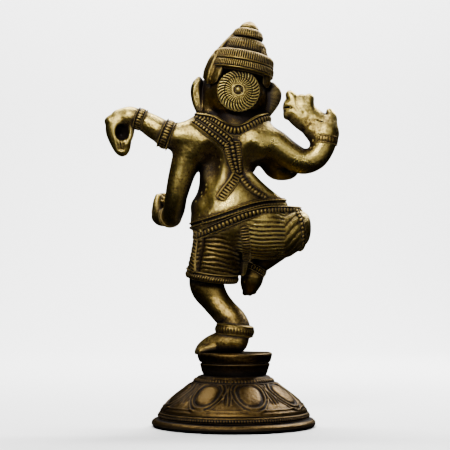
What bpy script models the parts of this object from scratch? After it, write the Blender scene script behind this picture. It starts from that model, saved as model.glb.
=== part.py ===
"""Brass statue of a four-armed, elephant-headed dancer on a lotus base.

The figure faces -Y and its own left side is +X. The base, plinth and crown are turned shapes.
Limbs, cloth and head are swept sections. Ornaments lie on the piece below them with a small gap.
All shape values are millimetres, measured from the axis and the underside of the base.
"""

import math

import bmesh
import bpy
from mathutils import Matrix, Vector
from mathutils.bvhtree import BVHTree

MM = 0.001

# Driving dimensions.
GAP = 0.3
BASE_RADIUS = 30.0
BASE_TOP = 15.8
WALL = 2.2
COLLAR_TOP = 18.6
PLINTH_TOP = 26.7
PLINTH_RADIUS = 13.6
PLINTH_FOOT_RADIUS = 11.8
PLINTH_JOINT = 23.0
STUD_RADIUS = 2.0
STUD_FOOT = 7.4
STUD_HEAD = 21.5
NUT_FLATS = 7.0
NUT_HEIGHT = 3.0
WASHER_RADIUS = 4.4
WASHER_HEIGHT = 0.8
CROWN_FOOT = Vector((-1.9, -0.6, 126.0))
CROWN_TILT = math.radians(-10.6)
CROWN_DEPTH = 0.88
HEAD_CENTRE = Vector((-1.6, -0.6, 121.4))
ROSETTE_RADIUS = 7.7

SIDES = 12
SPLINE_STEPS = 2
TURN_STEPS = 30

# Faceted surfaces stand inside their swollen corners, so a cut takes a little more than the gap.
SWELL = 1.15

# The pieces fitted so far, and by name the shape each had before anything was cut from it.
FITTED = []
UNCUT = {}


# ---- scene and materials --------------------------------------------------------------------

def clear_scene():
    for obj in list(bpy.data.objects):
        bpy.data.objects.remove(obj, do_unlink=True)


def metal(name, colour, roughness):
    material = bpy.data.materials.new(name)
    material.use_nodes = True
    shader = material.node_tree.nodes["Principled BSDF"]
    shader.inputs["Base Color"].default_value = (*colour, 1.0)
    shader.inputs["Roughness"].default_value = roughness
    shader.inputs["Metallic"].default_value = 1.0
    return material


def make_object(name, mesh_data, material):
    """Turns a bmesh in millimetres into a scene object in metres."""
    bmesh.ops.recalc_face_normals(mesh_data, faces=mesh_data.faces)
    mesh = bpy.data.meshes.new(name)
    mesh_data.to_mesh(mesh)
    mesh_data.free()
    mesh.transform(Matrix.Scale(MM, 4))
    mesh.shade_smooth()
    mesh.set_sharp_from_angle(angle=math.radians(50))
    mesh.materials.append(material)
    obj = bpy.data.objects.new(name, mesh)
    bpy.context.scene.collection.objects.link(obj)
    return obj


# ---- sections -------------------------------------------------------------------------------

def spline(knots, steps=SPLINE_STEPS):
    """Catmull-Rom points through the knots. A knot may hold radii after its x, y and z."""
    padded = [knots[0], *knots, knots[-1]]
    points = []
    for a, b, c, d in zip(padded, padded[1:], padded[2:], padded[3:]):
        for step in range(steps):
            t = step / steps
            points.append(tuple(
                0.5 * (2 * q + (r - p) * t + (2 * p - 5 * q + 4 * r - s) * t ** 2
                       + (3 * q - p - 3 * r + s) * t ** 3)
                for p, q, r, s in zip(a, b, c, d)))
    points.append(tuple(knots[-1]))
    return points


def add_ring(bm, centre, side, up, half_side, half_up, sides):
    turn = 2 * math.pi / sides
    return [bm.verts.new(centre + side * (half_side * math.cos(turn * i))
                         + up * (half_up * math.sin(turn * i))) for i in range(sides)]


def bridge(bm, lower, upper):
    count = len(lower)
    for i in range(count):
        j = (i + 1) % count
        bm.faces.new((lower[i], lower[j], upper[j], upper[i]))


def close_with_pole(bm, ring, pole):
    tip = bm.verts.new(pole)
    for i, vert in enumerate(ring):
        bm.faces.new((vert, ring[(i + 1) % len(ring)], tip))


def sweep(bm, knots, reference, sides=SIDES, rounding=0.75, steps=SPLINE_STEPS):
    """Sweeps an ellipse along the knots (x, y, z, half width[, half depth]) and rounds both ends.

    The half depth lies along reference, as far as the path lets it.
    """
    stations = [(*k, k[3]) if len(k) == 4 else tuple(k) for k in knots]
    points = spline(stations, steps)
    centres = [Vector(p[:3]) for p in points]
    rings = []
    up = Vector(reference)
    tangents = []
    for i in range(len(points)):
        ahead = centres[min(i + 1, len(points) - 1)]
        tangents.append((ahead - centres[max(i - 1, 0)]).normalized())
    for point, centre, tangent in zip(points, centres, tangents):
        up = (up - tangent * up.dot(tangent)).normalized()
        side = tangent.cross(up)
        rings.append(add_ring(bm, centre, side, up, point[3], point[4], sides))
    for lower, upper in zip(rings, rings[1:]):
        bridge(bm, lower, upper)
    for ring, centre, tangent, point, sign in (
            (rings[0], centres[0], tangents[0], points[0], -1),
            (rings[-1], centres[-1], tangents[-1], points[-1], 1)):
        reach = tangent * (sign * rounding * min(point[3], point[4]))
        shoulder = [bm.verts.new(centre + (v.co - centre) * 0.72 + reach * 0.7) for v in ring]
        bridge(bm, ring, shoulder)
        close_with_pole(bm, shoulder, centre + reach)


def swept(name, material, knots, reference=(0, 1, 0), **options):
    bm = bmesh.new()
    sweep(bm, knots, reference, **options)
    return make_object(name, bm, material)


def turned(name, material, profile, matrix=None, steps=TURN_STEPS, depth=1.0):
    """Turns a closed profile of (radius, height) about the Z axis. Radius 0 lies on the axis."""
    bm = bmesh.new()
    rings = []
    for radius, height in profile:
        if radius == 0:
            rings.append([bm.verts.new((0, 0, height))])
        else:
            rings.append(add_ring(bm, Vector((0, 0, height)), Vector((1, 0, 0)),
                                  Vector((0, depth, 0)), radius, radius, steps))
    on_axis = profile[0][0] == 0
    pairs = list(zip(rings, rings[1:]))
    if not on_axis:
        pairs.append((rings[-1], rings[0]))
    for lower, upper in pairs:
        if len(lower) == 1:
            lower, upper = upper, lower
        if len(upper) == 1:
            for i, vert in enumerate(lower):
                bm.faces.new((vert, lower[(i + 1) % steps], upper[0]))
        else:
            bridge(bm, lower, upper)
    if matrix:
        bmesh.ops.transform(bm, matrix=matrix, verts=bm.verts)
    return make_object(name, bm, material)


# ---- joining and cutting --------------------------------------------------------------------

def apply_modifiers(obj):
    graph = bpy.context.evaluated_depsgraph_get()
    mesh = bpy.data.meshes.new_from_object(obj.evaluated_get(graph))
    obj.modifiers.clear()
    obj.data = mesh


def swollen_copy(obj, by):
    """A helper standing outside the uncut shape of obj by about the given millimetres."""
    helper = bpy.data.objects.new("cutter", UNCUT.get(obj.name, obj.data).copy())
    bpy.context.scene.collection.objects.link(helper)
    normals = [v.normal.copy() for v in helper.data.vertices]
    for vert, normal in zip(helper.data.vertices, normals):
        vert.co += normal * (by * MM)
    helper.hide_render = True
    helper.display_type = "WIRE"
    return helper


def keep_largest_body(obj):
    bm = bmesh.new()
    bm.from_mesh(obj.data)
    bm.verts.ensure_lookup_table()
    unseen = set(bm.verts)
    bodies = []
    while unseen:
        body, edge = set(), {next(iter(unseen))}
        while edge:
            body |= edge
            edge = {e.other_vert(v) for v in edge for e in v.link_edges} - body
        unseen -= body
        bodies.append(body)
    largest = max(bodies, key=len)
    bmesh.ops.delete(bm, geom=[v for v in bm.verts if v not in largest], context="VERTS")
    bm.to_mesh(obj.data)
    bm.free()


def boolean(obj, other, operation):
    modifier = obj.modifiers.new(operation.lower(), "BOOLEAN")
    modifier.operation = operation
    modifier.solver = "EXACT"
    modifier.use_self = True
    modifier.object = other
    apply_modifiers(obj)


def boxes_meet(a, b):
    for axis in range(3):
        spans = [[v.co[axis] for v in obj.data.vertices] for obj in (a, b)]
        if min(spans[0]) > max(spans[1]) + GAP * MM or min(spans[1]) > max(spans[0]) + GAP * MM:
            return False
    return True


def fit(obj):
    """Cuts from obj the room of every piece fitted before it, with a gap round each."""
    UNCUT[obj.name] = obj.data.copy()
    for other in [piece for piece in FITTED if boxes_meet(obj, piece)]:
        helper = swollen_copy(other, GAP * SWELL)
        boolean(obj, helper, "DIFFERENCE")
        bpy.data.objects.remove(helper, do_unlink=True)
    keep_largest_body(obj)
    FITTED.append(obj)
    return obj


def united(name, material, strokes):
    """One body from several strokes, each (knots, reference, sides)."""
    bodies = [swept(f"{name}_{i}", material, knots, reference, sides=sides, steps=1)
              for i, (knots, reference, sides) in enumerate(strokes)]
    whole = bodies[0]
    for other in bodies[1:]:
        boolean(whole, other, "UNION")
        bpy.data.objects.remove(other, do_unlink=True)
    whole.name = name
    whole.data.name = name
    return whole


def surface_tree(*objects):
    trees = []
    for obj in objects:
        vertices = [v.co / MM for v in obj.data.vertices]
        trees.append(BVHTree.FromPolygons(vertices, [tuple(p.vertices) for p in obj.data.polygons]))
    return trees


def first_hit(trees, start, direction):
    hits = [tree.ray_cast(Vector(start), Vector(direction)) for tree in trees]
    hits = [h for h in hits if h[0] is not None]
    return min(hits, key=lambda h: h[3])[:2] if hits else None


def strand(name, material, path, trees, facing, half_width, thickness):
    """A flat strand laid over what is behind it. path holds its (x, z) seen along facing."""
    side_on = Vector(facing)
    knots = []
    for x, z, *_ in spline([(x, z, 0.0) for x, z in path], 3):
        hit = first_hit(trees, Vector((x, 0, z)) - side_on * 60, side_on)
        knots.append((*hit[0], half_width, thickness))
    return swept(name, material, knots, reference=-side_on, steps=1, sides=8)


def hoop(name, material, axis_point, height_at, trees, half_height, thickness, steps=28):
    """A closed band laid round what it encloses. height_at gives its height for a direction."""
    bm = bmesh.new()
    rings = []
    for i in range(steps):
        angle = 2 * math.pi * i / steps
        out = Vector((math.cos(angle), math.sin(angle), 0))
        centre = Vector((*axis_point, 0))
        z = height_at(angle)
        start = centre + out * 60 + Vector((0, 0, z))
        hit = first_hit(trees, start, -out)
        rings.append(add_ring(bm, hit[0], Vector((0, 0, 1)), out, half_height, thickness, 6))
    for lower, upper in zip(rings, rings[1:] + rings[:1]):
        bridge(bm, lower, upper)
    return make_object(name, bm, material)


def cuff(name, material, centre, axis, radius, half_length, sides=16):
    """A short barrel-shaped ring about an axis. It is still solid until its limb is carved out."""
    axis = Vector(axis).normalized()
    turn = Vector((0, 0, 1)).rotation_difference(axis).to_matrix().to_4x4()
    edge = radius - 0.5
    profile = [(0, -half_length), (edge - 0.6, -half_length), (edge, -half_length * 0.75),
               (radius, -half_length * 0.3), (radius, half_length * 0.3),
               (edge, half_length * 0.75), (edge - 0.6, half_length), (0, half_length)]
    return turned(name, material, profile, Matrix.Translation(centre) @ turn, steps=sides)


# ---- base and fixing ------------------------------------------------------------------------

def build_base(aged, steel):
    outer = [(28.8, 0.0), (29.7, 0.5), (BASE_RADIUS, 1.4), (29.4, 2.5), (27.9, 2.9), (26.4, 3.0),
             (26.4, 5.4), (26.9, 5.9), (26.4, 6.8), (24.3, 8.9), (21.3, 11.2), (18.2, 13.3),
             (15.4, BASE_TOP), (STUD_RADIUS + 0.4, BASE_TOP)]
    inner = [(STUD_RADIUS + 0.4, BASE_TOP - WALL), (15.0, BASE_TOP - WALL), (19.4, 9.6),
             (23.4, 5.4), (25.4, 1.6), (25.6, 0.0)]
    turned("lotus_base", aged, outer + inner, steps=40)
    turned("lower_bead_ring", aged, [(26.7, 3.3), (27.5, 3.35), (27.9, 4.2), (27.5, 5.0),
                                     (26.7, 5.1)], steps=40)
    top = COLLAR_TOP - GAP
    turned("upper_bead_ring", aged, [
        (8.0, BASE_TOP + GAP), (14.9, BASE_TOP + GAP), (15.0, 16.9), (14.0, 17.6), (12.9, 18.0),
        (12.3, top), (8.0, top)])
    turned("plinth_drum", aged, [
        (0, STUD_HEAD + GAP), (STUD_RADIUS + GAP, STUD_HEAD + GAP),
        (STUD_RADIUS + GAP, COLLAR_TOP), (PLINTH_FOOT_RADIUS, COLLAR_TOP), (12.2, 19.6),
        (12.9, 21.4), (12.9, 22.6), (12.2, PLINTH_JOINT), (0, PLINTH_JOINT)])
    cap = turned("plinth_cap", aged, [
        (0, PLINTH_JOINT + GAP), (12.3, PLINTH_JOINT + GAP), (13.2, 23.9), (13.5, 25.0),
        (PLINTH_RADIUS, 26.2), (13.2, PLINTH_TOP), (0, PLINTH_TOP)])
    turned("fixing_stud", steel, [
        (0, STUD_FOOT), (STUD_RADIUS - 0.5, STUD_FOOT), (STUD_RADIUS, STUD_FOOT + 0.5),
        (STUD_RADIUS, STUD_HEAD), (0, STUD_HEAD)], steps=16)
    washer_top = BASE_TOP - WALL - GAP
    washer_foot = washer_top - WASHER_HEIGHT
    bore = STUD_RADIUS + GAP
    turned("fixing_washer", steel, [(bore, washer_foot), (WASHER_RADIUS, washer_foot),
                                    (WASHER_RADIUS, washer_top), (bore, washer_top)], steps=24)
    build_nut(steel, washer_foot - GAP)
    return cap


def build_nut(steel, top):
    corner = NUT_FLATS / math.sqrt(3)
    foot = top - NUT_HEIGHT
    bore = STUD_RADIUS + GAP
    nut = turned("fixing_nut", steel, [(bore, foot), (corner, foot), (corner, top), (bore, top)],
                 steps=6)
    for vert in nut.data.vertices:
        out = Vector((vert.co.x, vert.co.y, 0))
        if out.length < (bore + 0.1) * MM:
            vert.co += out.normalized() * (0.36 * MM)


# ---- trunk of the body ----------------------------------------------------------------------

TORSO = [  # z, x, y, half width, half depth
    (66.2, 3.2, 0.2, 7.0, 6.6), (69.5, 2.8, -0.4, 11.6, 10.0), (73.5, 2.0, -1.2, 13.6, 11.6),
    (78.0, 0.8, -2.6, 15.0, 12.6), (81.8, 0.2, -3.8, 15.6, 13.2), (85.3, 0.4, -4.0, 13.6, 12.8),
    (88.8, 1.6, -3.0, 11.4, 11.4), (92.5, 3.0, -1.6, 9.9, 9.8), (97.0, 2.0, -0.4, 10.6, 9.0),
    (101.8, 1.0, 0.2, 12.4, 8.8), (106.0, 0.8, 0.2, 14.2, 8.6), (109.6, 0.2, 0.2, 13.6, 8.0),
    (112.6, -0.8, 0.0, 9.6, 7.0), (115.2, -1.3, -0.2, 6.6, 6.0)]


def build_torso(brass):
    bm = bmesh.new()
    rings = [add_ring(bm, Vector((x, y, z)), Vector((1, 0, 0)), Vector((0, 1, 0)), wide, deep, 22)
             for z, x, y, wide, deep in spline(TORSO, 1)]
    for lower, upper in zip(rings, rings[1:]):
        bridge(bm, lower, upper)
    first, last = TORSO[0], TORSO[-1]
    close_with_pole(bm, rings[0], Vector((first[1], first[2], first[0] - 1.2)))
    close_with_pole(bm, rings[-1], Vector((last[1], last[2], last[0] + 0.6)))
    return make_object("torso", bm, brass)


def build_belts(brass, dark, torso):
    trees = surface_tree(torso)
    band = hoop("belt_band", brass, (0.6, -2.4), lambda a: 77.9 - 0.30 * 15 * math.cos(a), trees,
                1.7, 1.3)
    beads = hoop("belt_bead_band", dark, (1.6, -1.8), lambda a: 73.9 - 0.36 * 14 * math.cos(a),
                 trees, 1.4, 1.4)
    fit(band)
    fit(beads)


# ---- cloth and legs -------------------------------------------------------------------------

LEFT_THIGH = [(3.8, -0.8, 71.5, 9.1, 9.3), (4.9, -1.4, 67.5, 9.5, 9.8), (5.9, -2.3, 63.0, 9.8, 10.0),
              (6.9, -3.3, 58.8, 10.0, 9.9), (7.5, -4.2, 55.6, 9.3, 9.2), (8.2, -4.8, 53.4, 8.0, 8.0)]
LEFT_SHIN = [(9.4, -5.2, 55.5, 6.2), (9.6, -5.4, 51.4, 6.3), (7.0, -4.4, 46.2, 5.4),
             (3.7, -2.8, 42.0, 5.1), (0.5, -1.4, 38.3, 5.1), (-0.2, -0.4, 35.2, 5.4),
             (-0.2, 0.2, 32.8, 5.0)]
LEFT_FOOT = [
    ([(-0.8, 2.4, 30.2, 3.4), (1.8, 1.4, 30.8, 4.4), (5.2, 0.2, 30.2, 4.1), (8.8, -1.2, 29.0, 3.0)],
     (0, 0, 1), 12),
    ([(8.0, -0.2, 28.4, 1.4), (12.0, -0.8, 27.9, 1.2)], (0, 0, 1), 8),
    ([(7.6, -3.4, 28.3, 1.3), (11.6, -4.4, 27.9, 1.0)], (0, 0, 1), 8),
]
RIGHT_THIGH = [(-1.0, -0.8, 70.6, 8.2, 8.6), (-7.0, -1.6, 70.4, 9.2, 9.4), (-13.0, -2.8, 70.5, 9.7, 9.6),
               (-18.0, -4.2, 71.0, 9.3, 9.2), (-22.0, -5.4, 71.7, 8.2, 8.2), (-24.6, -6.0, 72.2, 6.6, 6.8)]
RIGHT_SHIN = [(-20.5, -8.6, 68.8, 5.2), (-17.0, -10.4, 66.0, 5.0), (-12.4, -11.8, 62.6, 4.5),
              (-9.0, -12.2, 59.8, 4.0), (-7.4, -12.2, 56.8, 3.8)]
RIGHT_FOOT = [
    ([(-7.4, -11.0, 56.2, 4.0), (-6.9, -11.6, 53.2, 4.2, 3.6), (-6.2, -13.4, 50.6, 3.6, 2.6),
      (-5.9, -14.8, 49.3, 2.9, 1.7)], (0, 1, 0), 12),
    ([(-4.8, -14.2, 50.2, 1.2), (-4.6, -15.6, 48.0, 1.0)], (0, 1, 0), 8),
    ([(-7.6, -14.2, 50.2, 1.2), (-7.6, -15.6, 48.2, 1.0)], (0, 1, 0), 8),
]


def build_legs(brass, dark, torso):
    left_leg = swept("left_dhoti_leg", dark, LEFT_THIGH, sides=18, rounding=0.35)
    fit(left_leg)
    hem = cuff("left_dhoti_hem", dark, (7.6, -4.2, 55.2), (-0.13, 0.15, 1), 10.3, 1.6, 20)
    fit(hem)
    shin = swept("left_shin", dark, LEFT_SHIN, sides=14)
    fit(shin)
    anklet = cuff("left_anklet", dark, (0.1, -0.2, 34.6), (-0.12, 0.0, 1), 7.2, 2.0)
    fit(anklet)
    foot = united("left_foot", dark, LEFT_FOOT)
    fit(foot)

    right_leg = swept("right_dhoti_leg", brass, RIGHT_THIGH, sides=18, rounding=0.7)
    fit(right_leg)
    knee_band = cuff("right_knee_band", dark, (-23.6, -5.7, 72.0), (-1, -0.22, 0.20), 7.9, 1.1, 20)
    fit(knee_band)
    right_shin = swept("right_shin", dark, RIGHT_SHIN, sides=12)
    fit(right_shin)
    right_anklet = cuff("right_anklet", dark, (-7.9, -12.2, 57.9), (-0.45, 0, 1), 5.2, 1.3)
    fit(right_anklet)
    right_foot = united("right_foot", dark, RIGHT_FOOT)
    fit(right_foot)

    trees = surface_tree(left_leg, right_leg, torso)
    pleat = strand("centre_pleat", dark, [(-3.6, 71.4), (-4.2, 68.4), (-4.4, 65.4), (-4.2, 62.8)],
                   trees, (0, -1, 0), 1.7, 1.5)
    fit(pleat)
    sash = strand("front_sash", brass, [(1.0, 70.5), (1.6, 66.0), (2.6, 61.0), (3.2, 57.5)],
                  trees, (0, 1, 0), 3.0, 1.8)
    fit(sash)
    strand_on_side(dark, left_leg)


def strand_on_side(dark, left_leg):
    """The beaded edge of the cloth, down the outer side of the left thigh."""
    trees = surface_tree(left_leg)
    knots = []
    for height in (66.8, 64.8, 62.8, 60.6, 58.6):
        hit = first_hit(trees, (40, 18.6, height), (-0.84, -0.54, 0))
        knots.append((*hit[0], 1.5, 1.2))
    edge = swept("left_side_hem", dark, knots, reference=(1, 0, 0), sides=8, steps=1)
    return fit(edge)


# ---- arms -----------------------------------------------------------------------------------

REAR_LEFT_ARM = [(10.5, 1.0, 106.2, 6.4), (17.0, 1.6, 106.4, 6.2), (24.6, 1.8, 107.4, 5.1),
                 (30.2, 1.4, 110.6, 4.6), (34.8, 0.8, 113.3, 4.0), (37.4, 0.6, 114.0, 3.8)]
REAR_LEFT_HAND = [
    ([(37.8, 0.6, 113.6, 3.5), (41.2, 0.3, 112.6, 4.0, 3.0), (42.9, 0.2, 109.4, 4.3, 2.9),
      (42.2, 0.4, 105.8, 4.1, 2.7), (41.5, 0.6, 102.8, 3.0, 2.0)], (0, 1, 0), 12),
    ([(43.4, 0.4, 112.4, 2.2), (45.3, 0.4, 111.8, 2.0)], (0, 1, 0), 8),
    ([(45.2, 0.4, 110.4, 1.7), (45.0, 0.8, 106.6, 1.4), (43.0, 1.0, 102.2, 1.2)], (0, 1, 0), 8),
    ([(38.6, 1.2, 110.6, 1.6), (38.4, 1.8, 106.8, 1.3), (39.6, 1.6, 103.4, 1.1)], (0, 1, 0), 8),
]
FRONT_LEFT_ARM = [(13.2, 0.2, 105.0, 6.0), (16.6, 0.2, 99.0, 5.2), (19.3, -0.2, 91.5, 4.6),
                  (21.3, -1.0, 84.2, 4.1), (22.2, -3.4, 79.4, 4.0), (23.4, -7.8, 77.6, 3.8),
                  (24.6, -11.2, 77.6, 3.3)]
FRONT_LEFT_HAND = [
    ([(24.8, -12.0, 77.6, 3.2), (26.4, -15.0, 77.4, 4.2, 3.4), (27.4, -18.2, 78.0, 4.2, 2.8)],
     (0, 0, 1), 12),
    ([(24.6, -17.8, 78.8, 1.4), (24.0, -21.0, 79.8, 1.3), (24.2, -22.4, 82.2, 1.0)], (0, 0, 1), 8),
    ([(27.4, -19.2, 79.0, 1.4), (27.4, -22.4, 79.8, 1.3), (27.4, -23.6, 82.2, 1.0)], (0, 0, 1), 8),
    ([(29.8, -17.8, 79.0, 1.4), (30.6, -20.8, 79.8, 1.3), (30.4, -22.0, 82.2, 1.0)], (0, 0, 1), 8),
]
REAR_RIGHT_ARM = [(-10.0, 1.0, 106.0, 6.2), (-15.2, 1.8, 103.6, 5.4), (-20.4, 2.2, 99.6, 5.0),
                  (-25.6, 2.2, 97.2, 4.7), (-30.4, 2.2, 98.6, 4.6), (-33.4, 2.2, 102.6, 4.3),
                  (-34.2, 2.2, 106.8, 4.0)]
REAR_RIGHT_HAND = [
    ([(-34.2, 2.1, 107.8, 4.1), (-31.4, 1.9, 110.4, 5.0, 3.2), (-28.2, 1.5, 112.4, 5.2, 3.0),
      (-25.0, 1.2, 115.2, 5.3, 3.0), (-22.8, 0.9, 117.4, 4.6, 2.6)], (0, 1, 0), 12),
    ([(-23.6, 1.4, 118.4, 2.3), (-21.0, 1.0, 122.0, 1.7)], (0, 1, 0), 8),
    ([(-27.0, 1.5, 118.0, 2.6), (-27.4, 1.2, 120.6, 1.9)], (0, 1, 0), 8),
    ([(-22.6, 1.4, 115.8, 2.4), (-20.1, 1.1, 114.7, 1.7)], (0, 1, 0), 8),
    ([(-34.6, 2.0, 110.4, 3.0), (-36.0, 1.9, 113.2, 2.1), (-35.5, 1.8, 115.6, 1.2)], (0, 1, 0), 8),
]
FRONT_RIGHT_ARM = [(-11.0, -1.4, 103.6, 5.6), (-14.2, -3.6, 98.2, 4.9), (-17.4, -6.4, 95.4, 4.3),
                   (-19.6, -10.0, 95.8, 3.9), (-16.6, -13.2, 98.4, 3.4)]
FRONT_RIGHT_HAND = [
    ([(-13.8, -14.0, 99.6, 3.1), (-12.6, -15.4, 102.8, 3.4, 2.4), (-11.6, -16.0, 106.0, 3.8, 2.0)],
     (0, 1, 0), 12),
    ([(-13.6, -16.0, 107.0, 1.3), (-13.2, -15.6, 111.6, 1.1)], (0, 1, 0), 8),
    ([(-11.0, -16.2, 107.4, 1.4), (-10.4, -15.8, 112.6, 1.1)], (0, 1, 0), 8),
    ([(-8.8, -16.0, 106.6, 1.2), (-7.8, -15.8, 110.8, 1.0)], (0, 1, 0), 8),
    ([(-14.6, -15.8, 103.0, 1.3), (-16.4, -16.2, 106.4, 1.1)], (0, 1, 0), 8),
]


def build_arms(brass, dark):
    rear_left = swept("rear_left_arm", brass, REAR_LEFT_ARM)
    fit(rear_left)
    armlet = cuff("rear_left_armlet", dark, (25.0, 1.8, 107.6), (1, -0.02, 0.38), 6.0, 1.8)
    fit(armlet)
    bracelet = cuff("rear_left_bracelet", dark, (35.3, 0.8, 113.5), (1, -0.02, 0.34), 4.8, 1.6)
    fit(bracelet)
    hand = united("rear_left_hand", brass, REAR_LEFT_HAND)
    fit(hand)

    front_left = swept("front_left_arm", brass, FRONT_LEFT_ARM)
    fit(front_left)
    front_bracelet = cuff("front_left_bracelet", dark, (23.9, -9.5, 77.6), (0.30, -1, 0), 4.5, 1.3)
    fit(front_bracelet)
    front_hand = united("front_left_hand", brass, FRONT_LEFT_HAND)
    fit(front_hand)
    bowl_at = Matrix.Translation((27.3, -18.0, 81.0))
    bowl = turned("sweet_bowl", dark, [(0, 0), (2.2, 0), (3.6, 1.2), (4.2, 2.8), (3.4, 3.2),
                                       (2.6, 4.6), (1.2, 5.6), (0, 5.9)], bowl_at, steps=20)
    fit(bowl)

    rear_right = swept("rear_right_arm", brass, REAR_RIGHT_ARM)
    fit(rear_right)
    right_bracelet = cuff("rear_right_bracelet", dark, (-34.1, 2.2, 105.4), (-0.25, 0, 1), 4.9, 1.5)
    fit(right_bracelet)
    right_hand = united("rear_right_hand", brass, REAR_RIGHT_HAND)
    fit(right_hand)

    front_right = swept("front_right_arm", dark, FRONT_RIGHT_ARM)
    fit(front_right)
    front_right_hand = united("front_right_hand", brass, FRONT_RIGHT_HAND)
    fit(front_right_hand)
    return rear_left, front_left, rear_right, front_right


# ---- head and crown -------------------------------------------------------------------------

TRUNK = [(-1.8, -6.8, 120.6, 4.6), (-2.2, -11.6, 117.6, 4.3), (-2.4, -14.6, 112.6, 3.8),
         (-1.6, -15.6, 107.0, 3.3), (0.8, -15.8, 102.0, 2.9), (4.8, -16.2, 99.2, 2.5),
         (8.6, -16.6, 100.4, 2.1), (9.8, -16.8, 103.6, 1.7)]
LEFT_EAR = [(12.5, -2.2, 127.2, 1.5, 2.2), (13.4, -2.6, 124.6, 2.1, 3.2), (13.3, -2.4, 120.8, 2.0, 3.0),
            (12.7, -1.8, 117.4, 1.6, 2.2), (12.3, -1.4, 115.6, 1.2, 1.6)]
RIGHT_EAR = [(-13.2, -1.6, 125.4, 2.0, 1.5), (-14.1, -1.4, 122.8, 3.0, 1.9),
             (-13.7, -1.2, 119.8, 2.7, 1.7), (-12.9, -1.0, 116.8, 2.0, 1.3), (-12.3, -0.8, 115.0, 1.4, 1.0)]
LEFT_TUSK = [(4.0, -9.0, 116.4, 1.3), (5.4, -12.4, 115.0, 1.1), (5.9, -14.0, 114.8, 0.9)]
RIGHT_TUSK = [(-7.6, -9.0, 115.8, 1.3), (-9.0, -12.8, 114.4, 1.0), (-9.4, -16.4, 115.0, 0.5)]


CREST_FLAPS = [  # name, the way it faces, knots with half width and half thickness
    ("crown_flap_left", (0.62, 0.78, 0), [
        (1.4, 1.8, 142.4, 1.6, 1.0), (3.4, 2.8, 139.6, 2.4, 1.2), (5.4, 4.2, 136.1, 3.0, 1.3),
        (7.4, 4.4, 131.9, 3.6, 1.3), (8.6, 4.0, 128.6, 3.7, 1.3), (9.0, 3.2, 126.6, 3.1, 1.1)]),
    ("crown_flap_right", (-0.72, 0.69, 0), [
        (-10.9, 5.4, 138.2, 1.4, 1.3), (-11.8, 6.6, 135.0, 1.9, 1.6), (-12.4, 6.8, 131.2, 2.1, 1.6),
        (-12.6, 5.6, 127.8, 2.0, 1.5), (-12.4, 4.4, 125.8, 1.6, 1.2)]),
]


def crown_matrix():
    return Matrix.Translation(CROWN_FOOT) @ Matrix.Rotation(CROWN_TILT, 4, "Y")


def build_head(brass, dark):
    head = swept("head", dark, [
        (-2.4, -0.6, 129.0, 5.6, 5.4), (-2.2, -0.6, 127.2, 9.0, 8.6), (-1.9, -0.6, 124.0, 10.8, 9.9),
        (-1.6, -0.8, 120.6, 11.2, 10.2), (-1.4, -1.0, 117.4, 10.0, 9.2), (-1.3, -1.2, 114.8, 7.2, 7.4)],
        sides=20, rounding=0.25, steps=1)
    fit(head)
    left_ear = swept("left_ear", brass, LEFT_EAR, sides=10)
    right_ear = swept("right_ear", brass, RIGHT_EAR, sides=10)
    trunk = swept("trunk", brass, TRUNK)
    fit(trunk)
    for ear in (left_ear, right_ear):
        fit(ear)
    for name, knots in (("left_tusk", LEFT_TUSK), ("right_tusk", RIGHT_TUSK)):
        tusk = swept(name, brass, knots, sides=8)
        fit(tusk)


def build_rosette(brass, dark):
    """The disc on the back of the head, and the small boss at its centre."""
    facing = Matrix.Translation((-1.8, 6.2, 122.6)) @ Matrix.Rotation(math.radians(-84), 4, "X")
    disc = turned("head_rosette", brass, [
        (0, 0), (ROSETTE_RADIUS - 1.4, 0), (ROSETTE_RADIUS - 0.3, 1.2), (ROSETTE_RADIUS, 2.6),
        (6.6, 3.8), (3.6, 4.4), (0, 4.6)], facing, steps=28)
    fit(disc)
    boss_at = facing @ Matrix.Translation((0, 0, 3.9))
    boss = turned("rosette_boss", dark, [(0, 0), (1.5, 0), (1.5, 1.0), (0.9, 1.7), (0, 1.9)],
                  boss_at, steps=14)
    fit(boss)


def build_crown(dark):
    at = crown_matrix()
    body = turned("crown_body", dark, [
        (0, 3.6), (10.6, 3.6), (11.0, 5.0), (10.7, 8.0), (9.6, 11.2), (0, 11.2)],
        at, steps=28, depth=CROWN_DEPTH)
    fit(body)
    wide = turned("crown_band_wide", dark, [(7.0, 8.2), (11.3, 8.2), (11.5, 9.2), (10.7, 11.0),
                                            (7.0, 11.0)], at, steps=28, depth=CROWN_DEPTH)
    fit(wide)
    narrow = turned("crown_band_narrow", dark, [(8.0, 5.2), (11.6, 5.2), (11.9, 6.4), (11.4, 7.6),
                                                (8.0, 7.6)], at, steps=28, depth=CROWN_DEPTH)
    fit(narrow)
    for name, facing, knots in CREST_FLAPS:
        fit(swept(name, dark, knots, reference=facing, sides=10))
    stack = [
        ("crown_tier_lower", dark, [(0, 11.6), (7.0, 11.6), (8.0, 12.7), (7.7, 14.6), (6.7, 16.1),
                                     (5.4, 17.0), (0, 17.0)]),
        ("crown_tier_upper", dark, [(0, 17.35), (4.8, 17.35), (5.7, 18.3), (5.2, 19.8),
                                     (3.9, 21.2), (0, 21.2)]),
        ("crown_finial", dark, [(0, 21.55), (3.0, 21.55), (3.4, 22.1), (2.2, 23.4), (0, 24.4)])]
    for name, material, profile in stack:
        fit(turned(name, material, profile, at, steps=20, depth=CROWN_DEPTH))


# ---- ornaments laid on the body -------------------------------------------------------------

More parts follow.
